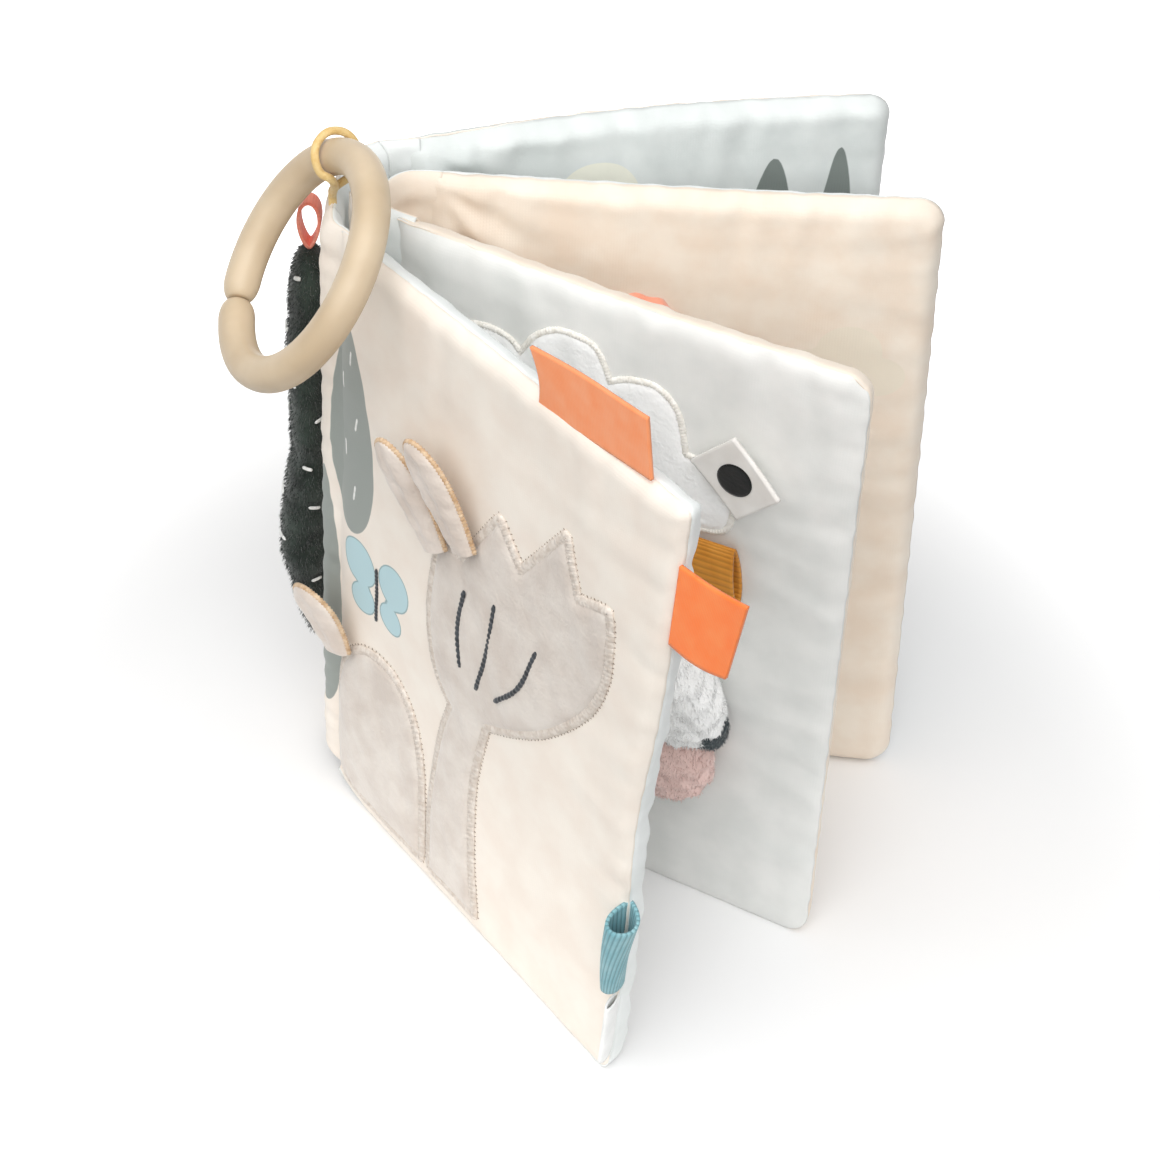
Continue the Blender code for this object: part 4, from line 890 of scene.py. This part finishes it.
def ticks(outline, pitch, outward, length):
    """Places of short stitches beside an outline, each across it and leaning back and forth."""
    path, _ = even_steps(outline, pitch, True)
    away = path_normals(path)
    spots = path + away * outward
    turn = np.degrees(np.arctan2(away[:, 1], away[:, 0])) + 22.0 * np.cos(np.pi * np.arange(len(path)))
    return [(u, v, t, length) for (u, v), t in zip(spots[:-1], turn[:-1])]


def make_picture():
    """The plush picture on the front cover: a hill and a tulip, edged with satin stitch."""
    hill = curve_through(HILL, 8, (0, 8), True)
    tulip = curve_through(TULIP, 8, (0, 3, 7, 8, 9, 10, 11, 12, 13, 18, 21), True)
    for name, outline, node_name in (("hill_patch", hill, "hill_plush"),
                                     ("tulip_patch", tulip, "tulip_plush")):
        item = patch(name, "front_cover", -1, outline, 1.1, 0.9)
        finish_piece(item, GREIGE, "front_cover", (node_name,))
        band = stitched_band(name + "_border", on_cover, outline, 3.0, 0.75, 0.7)
        finish_piece(band, BEIGE_THREAD, "front_cover")
        side = 1.0 if outline_area(outline) > 0 else -1.0
        spots = ticks(outline, 1.4, 1.62 * side, 1.0)
        marks = dashes(name + "_ticks", on_cover, spots, 0.34, 0.2, 4, 3)
        finish_piece(marks, UMBER_THREAD, "front_cover")
    for k, stroke in enumerate(([(62.0, 82.0), (60.0, 93.0), (61.5, 105.0)],
                                [(68.5, 80.0), (71.5, 93.0), (73.0, 109.0)],
                                [(76.0, 82.0), (84.0, 92.0), (88.5, 106.0)])):
        line = stitched_band(f"tulip_vein_{k}", lambda u, v, lift: on_cover(u, v, lift + 1.85),
                             curve_through(stroke, 10), 1.3, 0.5, 1.6, False)
        finish_piece(line, DARK_THREAD, "front_cover")
    middle = curve_through([(24.2, 68.0), (24.5, 76.0), (24.4, 85.0)], 10)
    body = stitched_band("wing_body", on_cover, middle, 1.1, 0.35, 1.2, False)
    finish_piece(body, DARK_THREAD, "front_cover")
    spots = [(13.0, 140.0, 82.0, 5.0), (8.5, 131.0, 95.0, 5.0), (15.0, 122.0, 76.0, 5.0),
             (9.5, 112.0, 98.0, 5.0), (14.0, 101.0, 84.0, 5.0)]
    marks = dashes("grove_dashes", on_cover, spots, 1.0, 0.12)
    finish_piece(marks, WHITE_THREAD, "front_cover")


def outline_area(outline):
    """Signed area of an outline, positive where it runs anticlockwise."""
    x, y = outline[:, 0], outline[:, 1]
    return 0.5 * np.sum(x * np.roll(y, -1) - np.roll(x, -1) * y)


def posed(local, leaf, place, turn, lean):
    """Points of a flap in its own axes (across, out, up) to its place on a leaf: leaned out from
    the leaf, then turned in the leaf's plane towards +u."""
    a, b = math.radians(turn), math.radians(lean)
    turn_y = np.array([[math.cos(a), 0, math.sin(a)], [0, 1, 0], [-math.sin(a), 0, math.cos(a)]])
    lean_x = np.array([[1, 0, 0], [0, math.cos(b), -math.sin(b)], [0, math.sin(b), math.cos(b)]])
    moved = local @ (turn_y @ lean_x).T + np.asarray(place)
    return on_leaf(leaf, moved[..., 0], moved[..., 1], moved[..., 2])


def flap_half(t, width):
    """Half the width of a soft flap: it widens from its foot as a sine and closes round its tip."""
    grown = 0.62 + 0.38 * np.sin(np.pi / 2.0 * np.minimum(t / 0.87, 1.0))
    beyond = np.maximum(0.0, t - 0.55) / 0.45
    return width / 2.0 * grown * np.sqrt(unit(1.0 - beyond ** 2.2))


def make_flap(name, node_name, length, width, curl, u, v, base, turn, lean, seed):
    """A stuffed flap: an oval section carried up a line that curls outwards, with a soft valley
    down its middle, and a stitched roll round its edge."""
    place = (u, face_height("front_cover", -1, np.array(u), np.array(v)) - base, v)
    t = eased(0.0, 1.0, 46)[:, None]
    angle = np.linspace(0.0, 2.0 * np.pi, 41)[None, :]
    half = flap_half(t, width)
    across = np.cos(angle)
    thick = 1.75 * (1.0 - t ** 8) * np.minimum(1.0, half / 2.5)
    valley = 0.9 * np.exp(-(across / 0.22) ** 2) * np.sin(np.pi * unit(t)) * (np.sin(angle) < 0)
    cup = 0.9 * (1.0 - across ** 2) * np.sin(np.pi * t * 0.9)
    y = -curl * t ** 2 + thick * np.sin(angle) + valley - cup
    y = y + 0.12 * ripple(t * length + across * 3.0, seed, (5.0, 8.0))
    z = t * length + 0.0 * angle
    local = np.stack([half * across, y, z], -1)
    item = surface(name, posed(local, "front_cover", place, -turn, lean))
    finish_piece(item, PETAL_PLUSH, node_name, (node_name,))
    side = np.concatenate([t[:, 0], t[::-1, 0][1:]])
    sign = np.concatenate([-np.ones(46), np.ones(45)])
    rim = np.stack([sign * (flap_half(side, width) - 0.15), -curl * side ** 2 + 0.45, side * length], -1)
    rim, run = even_steps(rim, 0.3)
    roll = tube(name + "_edge", posed(rim, "front_cover", place, -turn, lean), 0.62, 12,
                1.0 + 0.24 * np.cos(2.0 * np.pi * run / 0.9))
    finish_piece(roll, TAN_THREAD, node_name)


def tube(name, path, radius, sides, swell, ridge=0.0):
    """A round section carried along a path: its first direction is kept level with the last one
    by turning it least. swell is the radius's share at each place and ridge the height of three
    strands that twist round it; both ends close to a point."""
    way = np.gradient(path, axis=0)
    way /= np.linalg.norm(way, axis=1)[:, None]
    first = np.zeros_like(path)
    start = np.cross(way[0], (0.0, 0.0, 1.0))
    if np.linalg.norm(start) < 0.1:
        start = np.cross(way[0], (0.0, 1.0, 0.0))
    first[0] = start / np.linalg.norm(start)
    for k in range(1, len(path)):
        kept = first[k - 1] - way[k] * first[k - 1].dot(way[k])
        first[k] = kept / np.linalg.norm(kept)
    second = np.cross(way, first)
    angle = np.linspace(0.0, 2.0 * np.pi, sides + 1)[None, :]
    swell = np.broadcast_to(np.asarray(swell, float), (len(path),))[:, None]
    r = radius * swell * (1.0 + ridge * np.cos(3.0 * angle + np.arange(len(path))[:, None] * 0.35))
    grid = (path[:, None] + first[:, None] * (r * np.cos(angle))[..., None]
            + second[:, None] * (r * np.sin(angle))[..., None])
    first, last = [np.broadcast_to(path[k], (1, sides + 1, 3)) for k in (0, -1)]
    return surface(name, np.concatenate([first, grid, last]), flip=True)


def make_flaps():
    """The two petals beside the tulip's cup and the leaf flap by the spine."""
    make_flap("petal_left_soft", "petal_left", 30.0, 12.6, 2.8, 51.05, 110.5, 3.1, 25.0, 9.0, 1)
    make_flap("petal_right_soft", "petal_right", 30.0, 12.6, 2.8, 62.1, 117.3, 3.1, 25.0, 9.0, 2)
    make_flap("leaf_flap_soft", "leaf_flap", 20.5, 16.7, 2.8, 11.7, 51.3, 3.1, 20.0, 10.0, 3)


# Ribbons

def ribbon(name, line, wall, uv_line, uv_width):
    """A ribbon and its width and length in metres: line(s, t) gives points for places s along and t
    across it, 0 to 1."""
    s, t = np.meshgrid(np.linspace(0.0, 1.0, 90), np.linspace(0.0, 1.0, 26), indexing="ij")
    grid = line(s, t)
    item = surface(name, grid, np.stack([s * uv_line, t * uv_width], -1) / MAP_UNIT)
    long = np.linalg.norm(np.diff(grid, axis=0), axis=2).sum(0).mean()
    wide = np.linalg.norm(np.diff(grid, axis=1), axis=2).sum(1).mean()
    return give_wall(item, wall, 0.0), (wide * MM, long * MM)


def teardrop(s, reach, depth, foot=0.40):
    """A closed loop from its foot at the origin: reach out along x, depth across along y."""
    a = 2.0 * np.pi * s
    swell = np.sin(a) * (foot + (1.0 - foot) * np.sin(a / 2.0))
    return 0.5 * (1.0 - np.cos(a)) * reach, 0.5 * depth * swell / 0.82


# Foot and tip of the two pieces sewn into the cover's seam at their foot; these pieces ride on no body,
# and their places are baked in
SEWN_FOOT = {
    "teal_loop": ((126.3, -1.5, 43.0), (129.0, -9.0, 43.0)),
    "care_label": ((126.0, -2.0, 18.0), (129.1, -7.8, 18.0)),
}


def make_ribbons():
    """Two folded labels, three ribbon loops and the small folded care label."""
    def top_tag(s, t):
        u = 78.8 + 36.4 * s - t * (1.4 + 0.8 * s) + 1.6 * np.sin(np.pi * t) * (1.0 - s) ** 2
        v = 167.0 + 3.5 * s + t * (15.4 - 0.4 * s)
        n = -2.1 - t * (2.5 - 1.8 * s) + 0.5 * np.sin(np.pi * 1.4 * s) * t
        return on_leaf("front_cover", u, n, v)

    def side_tag(s, t):
        u = 126.6 + s * (19.3 - 2.6 * (1.0 - t))
        v = 134.6 + 2.0 * s + 21.2 * t - 0.9 * np.sin(np.pi * s)
        return on_leaf("front_cover", u, -2.1 + 1.0 * s + 0.7 * np.sin(np.pi * s) * (t - 0.5), v)

    def teal(s, t):
        x, y = teardrop(s, 5.8 + 5.6 * t, 3.5 + 3.9 * t, 0.12)
        u, n = turned((126.3, -1.5), x, y, -88.0 + 38.0 * t)
        return on_leaf("front_cover", u, n, 30.6 + 25.4 * t)

    def care(s, t):
        u, n = turned((126.0, -2.0), *teardrop(s, 6.6, 1.5), -62.0)
        return on_leaf("front_cover", u, n, 8.5 + 18.5 * t)

    def mustard(s, t):
        x, y = teardrop(s, 15.2, 4.2)
        u = 83.5 + 16.3 * t + 2.2 * x / 15.2
        n = -6.6 + y + mid_plane("page_a", u, np.array(110.0))
        return on_leaf("page_a", u, n, 114.9 + 0.5 * t - x)

    def coral(s, t):
        x, y = teardrop(s, 12.2, 4.8)
        return np.stack([-15.98 - y, 8.2 - 4.5 * t, 148.6 + x], -1)

    made = (
        ("top_label", top_tag, 0.9, 37.5, 15.0, PALE_ORANGE, "top_tag", "orange_satin"),
        ("side_label", side_tag, 0.9, 21.5, 23.5, ORANGE, "side_tag", "orange_satin"),
        ("teal_ribbon_loop", teal, 0.8, 28.0, 25.0, TEAL, "teal_loop", "teal_grosgrain"),
        ("care_ribbon", care, 0.5, 16.0, 18.0, WHITE_RIBBON, "care_label", "white_satin"),
        ("mustard_ribbon_loop", mustard, 0.8, 32.0, 16.5, MUSTARD, "mustard_loop", "mustard_grosgrain"),
        ("coral_ribbon_loop", coral, 0.8, 28.0, 4.5, CORAL, "coral_loop", "coral_ribbon"),
    )
    for name, line, wall, long, wide, finish, body, slot in made:
        item, flat = ribbon(name, line, wall, long, wide)
        sewn = SEWN_FOOT.get(body)
        finish_piece(item, finish, None if sewn else body, (body,))
        if sewn:
            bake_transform(item)


# Ring, cord and bush

# The ring's middle, its two axes in its plane and the one across it, and the radii of its middle
# line and of its section
RING_CENTRE = np.array([-13.98, -26.67, 164.4])
RING_AXES = np.array([(-0.31042, 0.9506, 0.0), (-0.5326, -0.17392, -0.82831),
                      (-0.78739, -0.25713, 0.56028)])
RING_RADIUS = 26.25
RING_SECTION = 4.15
# The cord's middle line, from one sewn end over the ring to the other
CORD_ROUTE = [
    (-9.1, -7.25, 168.0), (-9.13, -7.15, 169.3), (-9.1, -7.41, 171.1), (-8.37, -10.25, 175.45),
    (-9.08, -12.05, 178.21), (-11.17, -12.13, 179.55), (-12.35, -11.49, 181.69), (-12.72, -10.18, 183.74),
    (-12.21, -8.38, 185.44), (-10.88, -6.45, 186.37), (-9.05, -4.8, 186.41), (-6.98, -3.64, 185.54),
    (-5.11, -3.28, 183.89), (-3.8, -3.73, 181.85), (-3.23, -4.93, 179.7), (-3.4, -7.09, 178.32),
    (-5.62, -6.98, 175.5), (-9.1, -4.81, 171.1), (-9.42, -4.65, 169.3), (-9.35, -4.7, 168.0)]


def signed_power(value, power):
    """The value's size raised to a power, with its sign kept."""
    return np.sign(value) * np.abs(value) ** power


def make_ring():
    """The split ring: a rounded section carried round a circle. Towards each end its size falls on
    a quarter circle to about half, where a flat tip meets the other one."""
    half_gap = math.degrees(0.25 / RING_RADIUS)
    angles = np.radians(eased(56.0 + half_gap, 416.0 - half_gap, 300, 0.75))
    from_end = np.minimum(angles - angles[0], angles[-1] - angles) * RING_RADIUS
    size = 0.50 + 0.50 * np.sqrt(rounded(from_end, 5.0, 2))
    turn = np.linspace(0.0, 2.0 * np.pi, 49)[None, :]
    out = signed_power(np.cos(turn), 0.92) * RING_SECTION
    lift = signed_power(np.sin(turn), 0.92) * RING_SECTION
    radius = RING_RADIUS + out * size[:, None]
    grid = (RING_CENTRE + (radius * np.cos(angles)[:, None])[..., None] * RING_AXES[0]
            + (radius * np.sin(angles)[:, None])[..., None] * RING_AXES[1]
            + (lift * size[:, None])[..., None] * RING_AXES[2])
    tips = grid[[0, -1]].mean(axis=1, keepdims=True)
    ends = np.broadcast_to(tips, (2, 49, 3))
    item = surface("split_ring", np.concatenate([ends[:1], grid, ends[1:]]))
    finish_piece(item, RING, "ring", ("teething_ring",))


def make_cord():
    """The cord that carries the ring, a smooth round tube along its route from the CAD."""
    path, _ = even_steps(curve_through(CORD_ROUTE, 10), 0.35)
    item = tube("ring_cord", path, 0.98, 20, 1.0, 0.03)
    finish_piece(item, GOLD, "ring_hanger", ("cord_loop",))


# The bush's bottom and top, its middle in plan, the mean radius by which stitches are spread round
# it, and its size from the bottom to the top
BUSH_FOOT, BUSH_TOP = 28.05, 148.24
BUSH_MIDDLE = (-15.98, 4.95)
BUSH_GIRTH = 6.5
BUSH_LOBES = (0.30, 0.66, 0.84, 0.92, 0.95, 0.95, 0.97, 1.0, 1.02, 1.02, 1.0, 0.96, 0.88)


def on_bush(turn, z, lift):
    """The bush's skin at a turn in radians about its upright line and a height: an oval section
    whose size follows the lobes, with rounded bumps and a belly towards -X at z = 62."""
    share = unit((z - BUSH_FOOT) / (BUSH_TOP - BUSH_FOOT))
    size = np.interp(share, np.linspace(0.0, 1.0, len(BUSH_LOBES)), BUSH_LOBES)
    bump = 1.0 + 0.05 * ripple(z, 4, (13.0, 21.0)) + 0.05 * np.sin(2.0 * turn + z / 9.0)
    cap = np.sqrt(unit(1.0 - np.abs(2.0 * share - 1.0) ** 14))
    x = (5.1 * size * bump * cap + lift) * np.cos(turn)
    y = (8.2 * size * bump * cap + lift) * np.sin(turn)
    belly = 3.2 * np.exp(-((z - 62.0) / 19.0) ** 2) * (0.5 - 0.5 * np.cos(turn))
    return np.stack([BUSH_MIDDLE[0] + x - belly, BUSH_MIDDLE[1] + y, z + 0.0 * turn], -1)


def make_bush():
    """The stuffed bush behind the spine, with short white stitches scattered on it."""
    heights = eased(BUSH_FOOT, BUSH_TOP, 150, 0.8)
    grid = on_bush(*np.meshgrid(np.linspace(0.0, 2.0 * np.pi, 57), heights), 0.0)
    item = surface("bush_soft", grid)
    finish_piece(item, GREEN_PLUSH, "spine", ("bush_plush",))
    pile("bush_pile", grid, 9000, 1.1, -0.7, GREEN_PLUSH, "spine", "dark_green_plush", 21)
    draw = np.random.default_rng(8)
    spots = []
    for row, height in enumerate(np.arange(40.0, 142.0, 12.5)):
        for col in range(3):
            at = 2.0 * np.pi * (col + 0.5 * (row % 2)) / 3.0 + draw.uniform(-0.5, 0.5)
            spots.append((at * BUSH_GIRTH, height + draw.uniform(-3.0, 3.0), draw.uniform(-35.0, 35.0),
                          3.4))

    def on_skin(p, q, lift):
        return on_bush(p / BUSH_GIRTH, q, lift + 0.6)

    item = dashes("bush_stitches", on_skin, spots, 1.1, 0.4)
    finish_piece(item, WHITE_THREAD, "spine")


# Width of a plush fibre at its foot, in millimetres
FIBRE_WIDTH = 0.16


def pile(name, grid, count, length, lean, finish, body, slot, seed):
    """Fibres of the plush that show against what is behind: thin three-sided blades on a surface's
    grid, spread by area. Each stands along the surface's outward way plus lean upwards plus a
    random part, bends down by a square of its length and narrows to a tip."""
    draw = np.random.default_rng(seed)
    ends = (grid[:-1, :-1], grid[:-1, 1:], grid[1:, 1:], grid[1:, :-1])
    faced = np.cross(ends[2] - ends[0], ends[3] - ends[1])
    area = np.linalg.norm(faced, axis=2).ravel()
    chosen = draw.choice(area.size, count, p=area / area.sum())
    s, t = draw.random((2, count, 1))
    a, b, c, d = [end.reshape(-1, 3)[chosen] for end in ends]
    foot = (a * (1.0 - s) + b * s) * (1.0 - t) + (d * (1.0 - s) + c * s) * t
    out = faced.reshape(-1, 3)[chosen] / area[chosen, None]
    if np.sum(out * (foot - grid.reshape(-1, 3).mean(0))) < 0.0:
        out = -out
    way = out + np.array([0.0, 0.0, lean]) + draw.normal(0.0, 0.25, (count, 3))
    way /= np.linalg.norm(way, axis=1)[:, None]
    long = length * draw.uniform(0.55, 1.2, (count, 1))
    side = np.cross(way, draw.normal(size=(count, 3)))
    side /= np.linalg.norm(side, axis=1)[:, None]
    other = np.cross(way, side)
    turn = np.radians([0.0, 120.0, 240.0])[None, :, None]
    spread = side[:, None] * np.cos(turn) + other[:, None] * np.sin(turn)
    down = np.array([0.0, 0.0, -0.35])
    rings = [(foot + way * long * share + down * long * share ** 2)[:, None]
             + FIBRE_WIDTH / 2.0 * wide * spread for share, wide in ((-0.1, 1.0), (0.55, 0.75))]
    tip = foot + way * long + down * long
    points = np.concatenate([*rings, tip[:, None]], axis=1).reshape(-1, 3)
    one = np.array([(0, 2, 1), (0, 1, 4), (0, 4, 3), (1, 2, 5), (1, 5, 4), (2, 0, 3), (2, 3, 5), (3, 4, 6),
                    (4, 5, 6), (5, 3, 6)])
    faces = (np.arange(count)[:, None, None] * 7 + one).reshape(-1, 3)
    finish_piece(mesh_piece(name, points, faces), finish, body)


# Page A and page B

# The power that fills a stuffed form's corners, and the side of the square felt flap
FULLNESS = 0.82
FLAP_SIZE = 17.5

def puffed(centre, sizes, shape):
    """A stuffed form on page A: an ellipsoid with fuller corners, x = a cos cos, n = b cos sin and
    v = c sin with each raised to a power below 1, then shaped, with small hollows and lumps."""
    up = np.linspace(-np.pi / 2.0, np.pi / 2.0, 60)[:, None]
    around = np.linspace(0.0, 2.0 * np.pi, 73)[None, :]
    level = signed_power(np.cos(up), FULLNESS)
    x = level * signed_power(np.cos(around), FULLNESS)
    y = level * signed_power(np.sin(around), FULLNESS)
    z = signed_power(np.sin(up), FULLNESS) + 0.0 * around
    x, y, z = shape(x, y, z)
    waves = ripple(3.0 * x + 2.0 * z, 2, (1.1, 0.7)) + ripple(3.0 * z - y, 3, (0.9,))
    lump = 1.0 + 0.025 * waves
    u, n, v = [place + way * size / 2.0 * lump for place, way, size in zip(centre, (x, y, z), sizes)]
    return on_leaf("page_a", u, n, v)


def make_page_a():
    """Cloud patch, felt flap with a dot, and the stuffed toadstool."""
    cloud = curve_through(CLOUD, 8, (4, 8, 12), True)
    item = patch("cloud_soft", "page_a", -1, cloud, 0.7, 0.5)
    finish_piece(item, WHITE_PLUSH, "page_a", ("cloud_patch",))
    band = stitched_band("cloud_border", on_page, cloud, 1.7, 0.62, 0.8)
    finish_piece(band, CREAM_THREAD, "page_a")

    def on_flap(x, y, z):
        curl = -1.2 * unit(z / FLAP_SIZE) ** 2 * (0.4 + 0.6 * (x / FLAP_SIZE * 2.0 + 1.0) / 2.0)
        points = np.stack([x, curl - 0.004 * x ** 2 + y, z], -1)
        return posed(points, "page_a", (93.6, -6.95, 131.24), 43.0, 9.0)

    x, z = np.meshgrid(np.linspace(-FLAP_SIZE / 2.0, FLAP_SIZE / 2.0, 30), np.linspace(0.4, FLAP_SIZE, 30))
    flap = surface("felt_flap", on_flap(x, -0.75, z), np.stack([x, z], -1) / MAP_UNIT)
    give_wall(flap, 1.1, 0.0)
    finish_piece(flap, FELT, "spot_flap", ("spot_flap",))
    r, a = polar(8, 41)
    grid = on_flap(4.4 * r * np.cos(a), -1.47 - 0.12 * (1.0 - r ** 6), 8.75 + 5.2 * r * np.sin(a))
    dot = give_wall(surface("flap_dot", grid, flip=True), 0.15)
    finish_piece(dot, BLACK_FELT, "spot_flap", ("flap_spot",))

    def cap_form(x, y, z):
        return x * (1.0 - 0.30 * np.maximum(z, 0.0)), y, z - 0.20 * (x * x - 0.4)

    def stalk_form(x, y, z):
        return x * (1.0 - 0.12 * z), y, z

    def button_form(x, y, z):
        return x, y, z

    for name, node_name, centre, sizes, form, finish, slot, count in (
            ("cap_soft", "toadstool_cap", (83.2, -12.55, 72.25), (40.0, 16.5, 31.0), cap_form,
             WHITE_PLUSH, "white_plush", 9000),
            ("stalk_soft", "toadstool_stalk", (83.2, -11.05, 55.0), (34.0, 13.5, 35.5), stalk_form,
             PINK_PLUSH, "pink_plush", 7000),
            ("button_soft", "toadstool_button", (99.4, -11.9, 64.2), (8.8, 8.8, 9.0), button_form,
             GREY_PLUSH, "grey_plush", 1500)):
        grid = puffed(centre, sizes, form)
        finish_piece(surface(name, grid), finish, "page_a", (node_name,))
        pile(name + "_pile", grid, count, 0.75, -1.0, finish, "page_a", slot, count)


def make_page_b():
    """The round coral sun of plush: a dome with a scalloped edge."""
    r, a = polar(20, 97)
    reach = 12.3 * r * (1.0 + 0.03 * np.cos(12.0 * a) * r)
    u, v = 55.5 + reach * np.cos(a), 130.9 + reach * np.sin(a)
    lift = 2.7 * np.sqrt(unit(1.0 - r ** 3))
    lift = lift + 0.1 * ripple(reach + 3.0 * a, 6, (2.1, 3.7)) * (1 - r)
    item = surface("sun_soft", on_face("page_b", -1, u, v, lift + 0.05), flip=True)
    give_wall(item, PATCH_WALL)
    finish_piece(item, CORAL_PLUSH, "page_b", ("sun_plush",))


# Camera, floor and light

def stand(item, right, up, view, eye):
    """Puts a camera or lamp at eye with its three directions; it looks along view."""
    rows = [(right[k], up[k], -view[k], eye[k]) for k in range(3)]
    item.matrix_world = Matrix([*rows, (0, 0, 0, 1)])


def seen_rays(tree, *kinds):
    """1 for rays of one of those kinds and 0 for others."""
    path = node(tree, "ShaderNodeLightPath")
    found = path.outputs[kinds[0]]
    for kind in kinds[1:]:
        found = node(tree, "ShaderNodeMath", {0: found, 1: path.outputs[kind]},
                     operation="MAXIMUM").outputs[0]
    return found


def make_stage():
    """The camera fitted to the photograph, a pale floor, a white surround and two soft lamps."""
    down, roll = math.radians(40.0), math.radians(3.41)
    view = np.array([0.0, math.cos(down), -math.sin(down)])
    right = np.array([1.0, 0.0, 0.0])
    up = np.cross(right, view)
    right, up = (math.cos(roll) * right + math.sin(roll) * up,
                 math.cos(roll) * up - math.sin(roll) * right)
    eye = to_frame(np.array([52.53, 0.0, 54.57]) - 765.34 * view)
    lens = bpy.data.cameras.new("camera")
    lens.lens = 93.103
    lens.sensor_width = 36.0
    lens.clip_end = 20.0
    camera = add_object("camera", lens)
    stand(camera, right, up, view, eye)
    bpy.context.scene.camera = camera

    reach = 3.0
    data = bpy.data.meshes.new("floor")
    data.from_pydata([(-reach, -reach, 0), (reach, -reach, 0), (reach, reach, 0), (-reach, reach, 0)], [],
                     [(0, 1, 2, 3)])
    floor = add_object("floor", data)
    made, tree, shader = blank("studio_floor", 0.9, 0.0, 0.1)
    shader.inputs["Base Color"].default_value = linear("#F6F6F6")
    seen = seen_rays(tree, "Is Camera Ray", "Is Glossy Ray")
    seen = node(tree, "ShaderNodeMath", {0: seen, 1: 1.8}, operation="MULTIPLY")
    glow = node(tree, "ShaderNodeEmission", {"Color": (1.0, 1.0, 1.0, 1.0), "Strength": seen.outputs[0]})
    place = node(tree, "ShaderNodeTexCoord").outputs["Object"]
    away = node(tree, "ShaderNodeVectorMath", {0: place}, operation="LENGTH")
    fade = node(tree, "ShaderNodeMapRange", {"Value": away.outputs["Value"], "From Min": 0.13,
                                             "From Max": 0.32}, interpolation_type="SMOOTHSTEP")
    share = node(tree, "ShaderNodeMixShader", {0: fade.outputs[0], 1: shader.outputs[0],
                                               2: glow.outputs[0]})
    tree.links.new(share.outputs[0], tree.nodes["Material Output"].inputs["Surface"])
    data.materials.append(made)

    world = bpy.data.worlds.new("studio")
    bpy.context.scene.world = world
    world.use_nodes = True
    tree = world.node_tree
    tree.nodes.clear()
    seen = seen_rays(tree, "Is Camera Ray", "Is Glossy Ray", "Is Transmission Ray")
    strength = node(tree, "ShaderNodeMapRange", {"Value": seen, "To Min": 0.55, "To Max": 1.0})
    back = node(tree, "ShaderNodeBackground", {"Color": (1.0, 1.0, 1.0, 1.0),
                                               "Strength": strength.outputs[0]})
    out = node(tree, "ShaderNodeOutputWorld", {"Surface": back.outputs[0]})
    out.is_active_output = True

    for name, spot, size, energy in (("soft_box", (-0.26, -0.54, 0.92), 1.3, 8.4),
                                     ("front_box", (0.10, -0.62, 0.90), 0.9, 3.6)):
        light = bpy.data.lights.new(name, "AREA")
        light.size = size
        light.energy = energy
        spot = np.array(spot)
        aim = np.array([0.0, 0.0, 0.08]) - spot
        aim /= np.linalg.norm(aim)
        level = np.cross(aim, (0.0, 0.0, 1.0))
        level /= np.linalg.norm(level)
        stand(add_object(name, light), level, np.cross(level, aim), aim, spot)
    bpy.context.scene.view_settings.view_transform = "Standard"


make_stage()
make_leaves()
make_spine()
make_bends()
make_tape()
make_picture()
make_flaps()
make_ribbons()
make_ring()
make_cord()
make_bush()
make_page_a()
make_page_b()
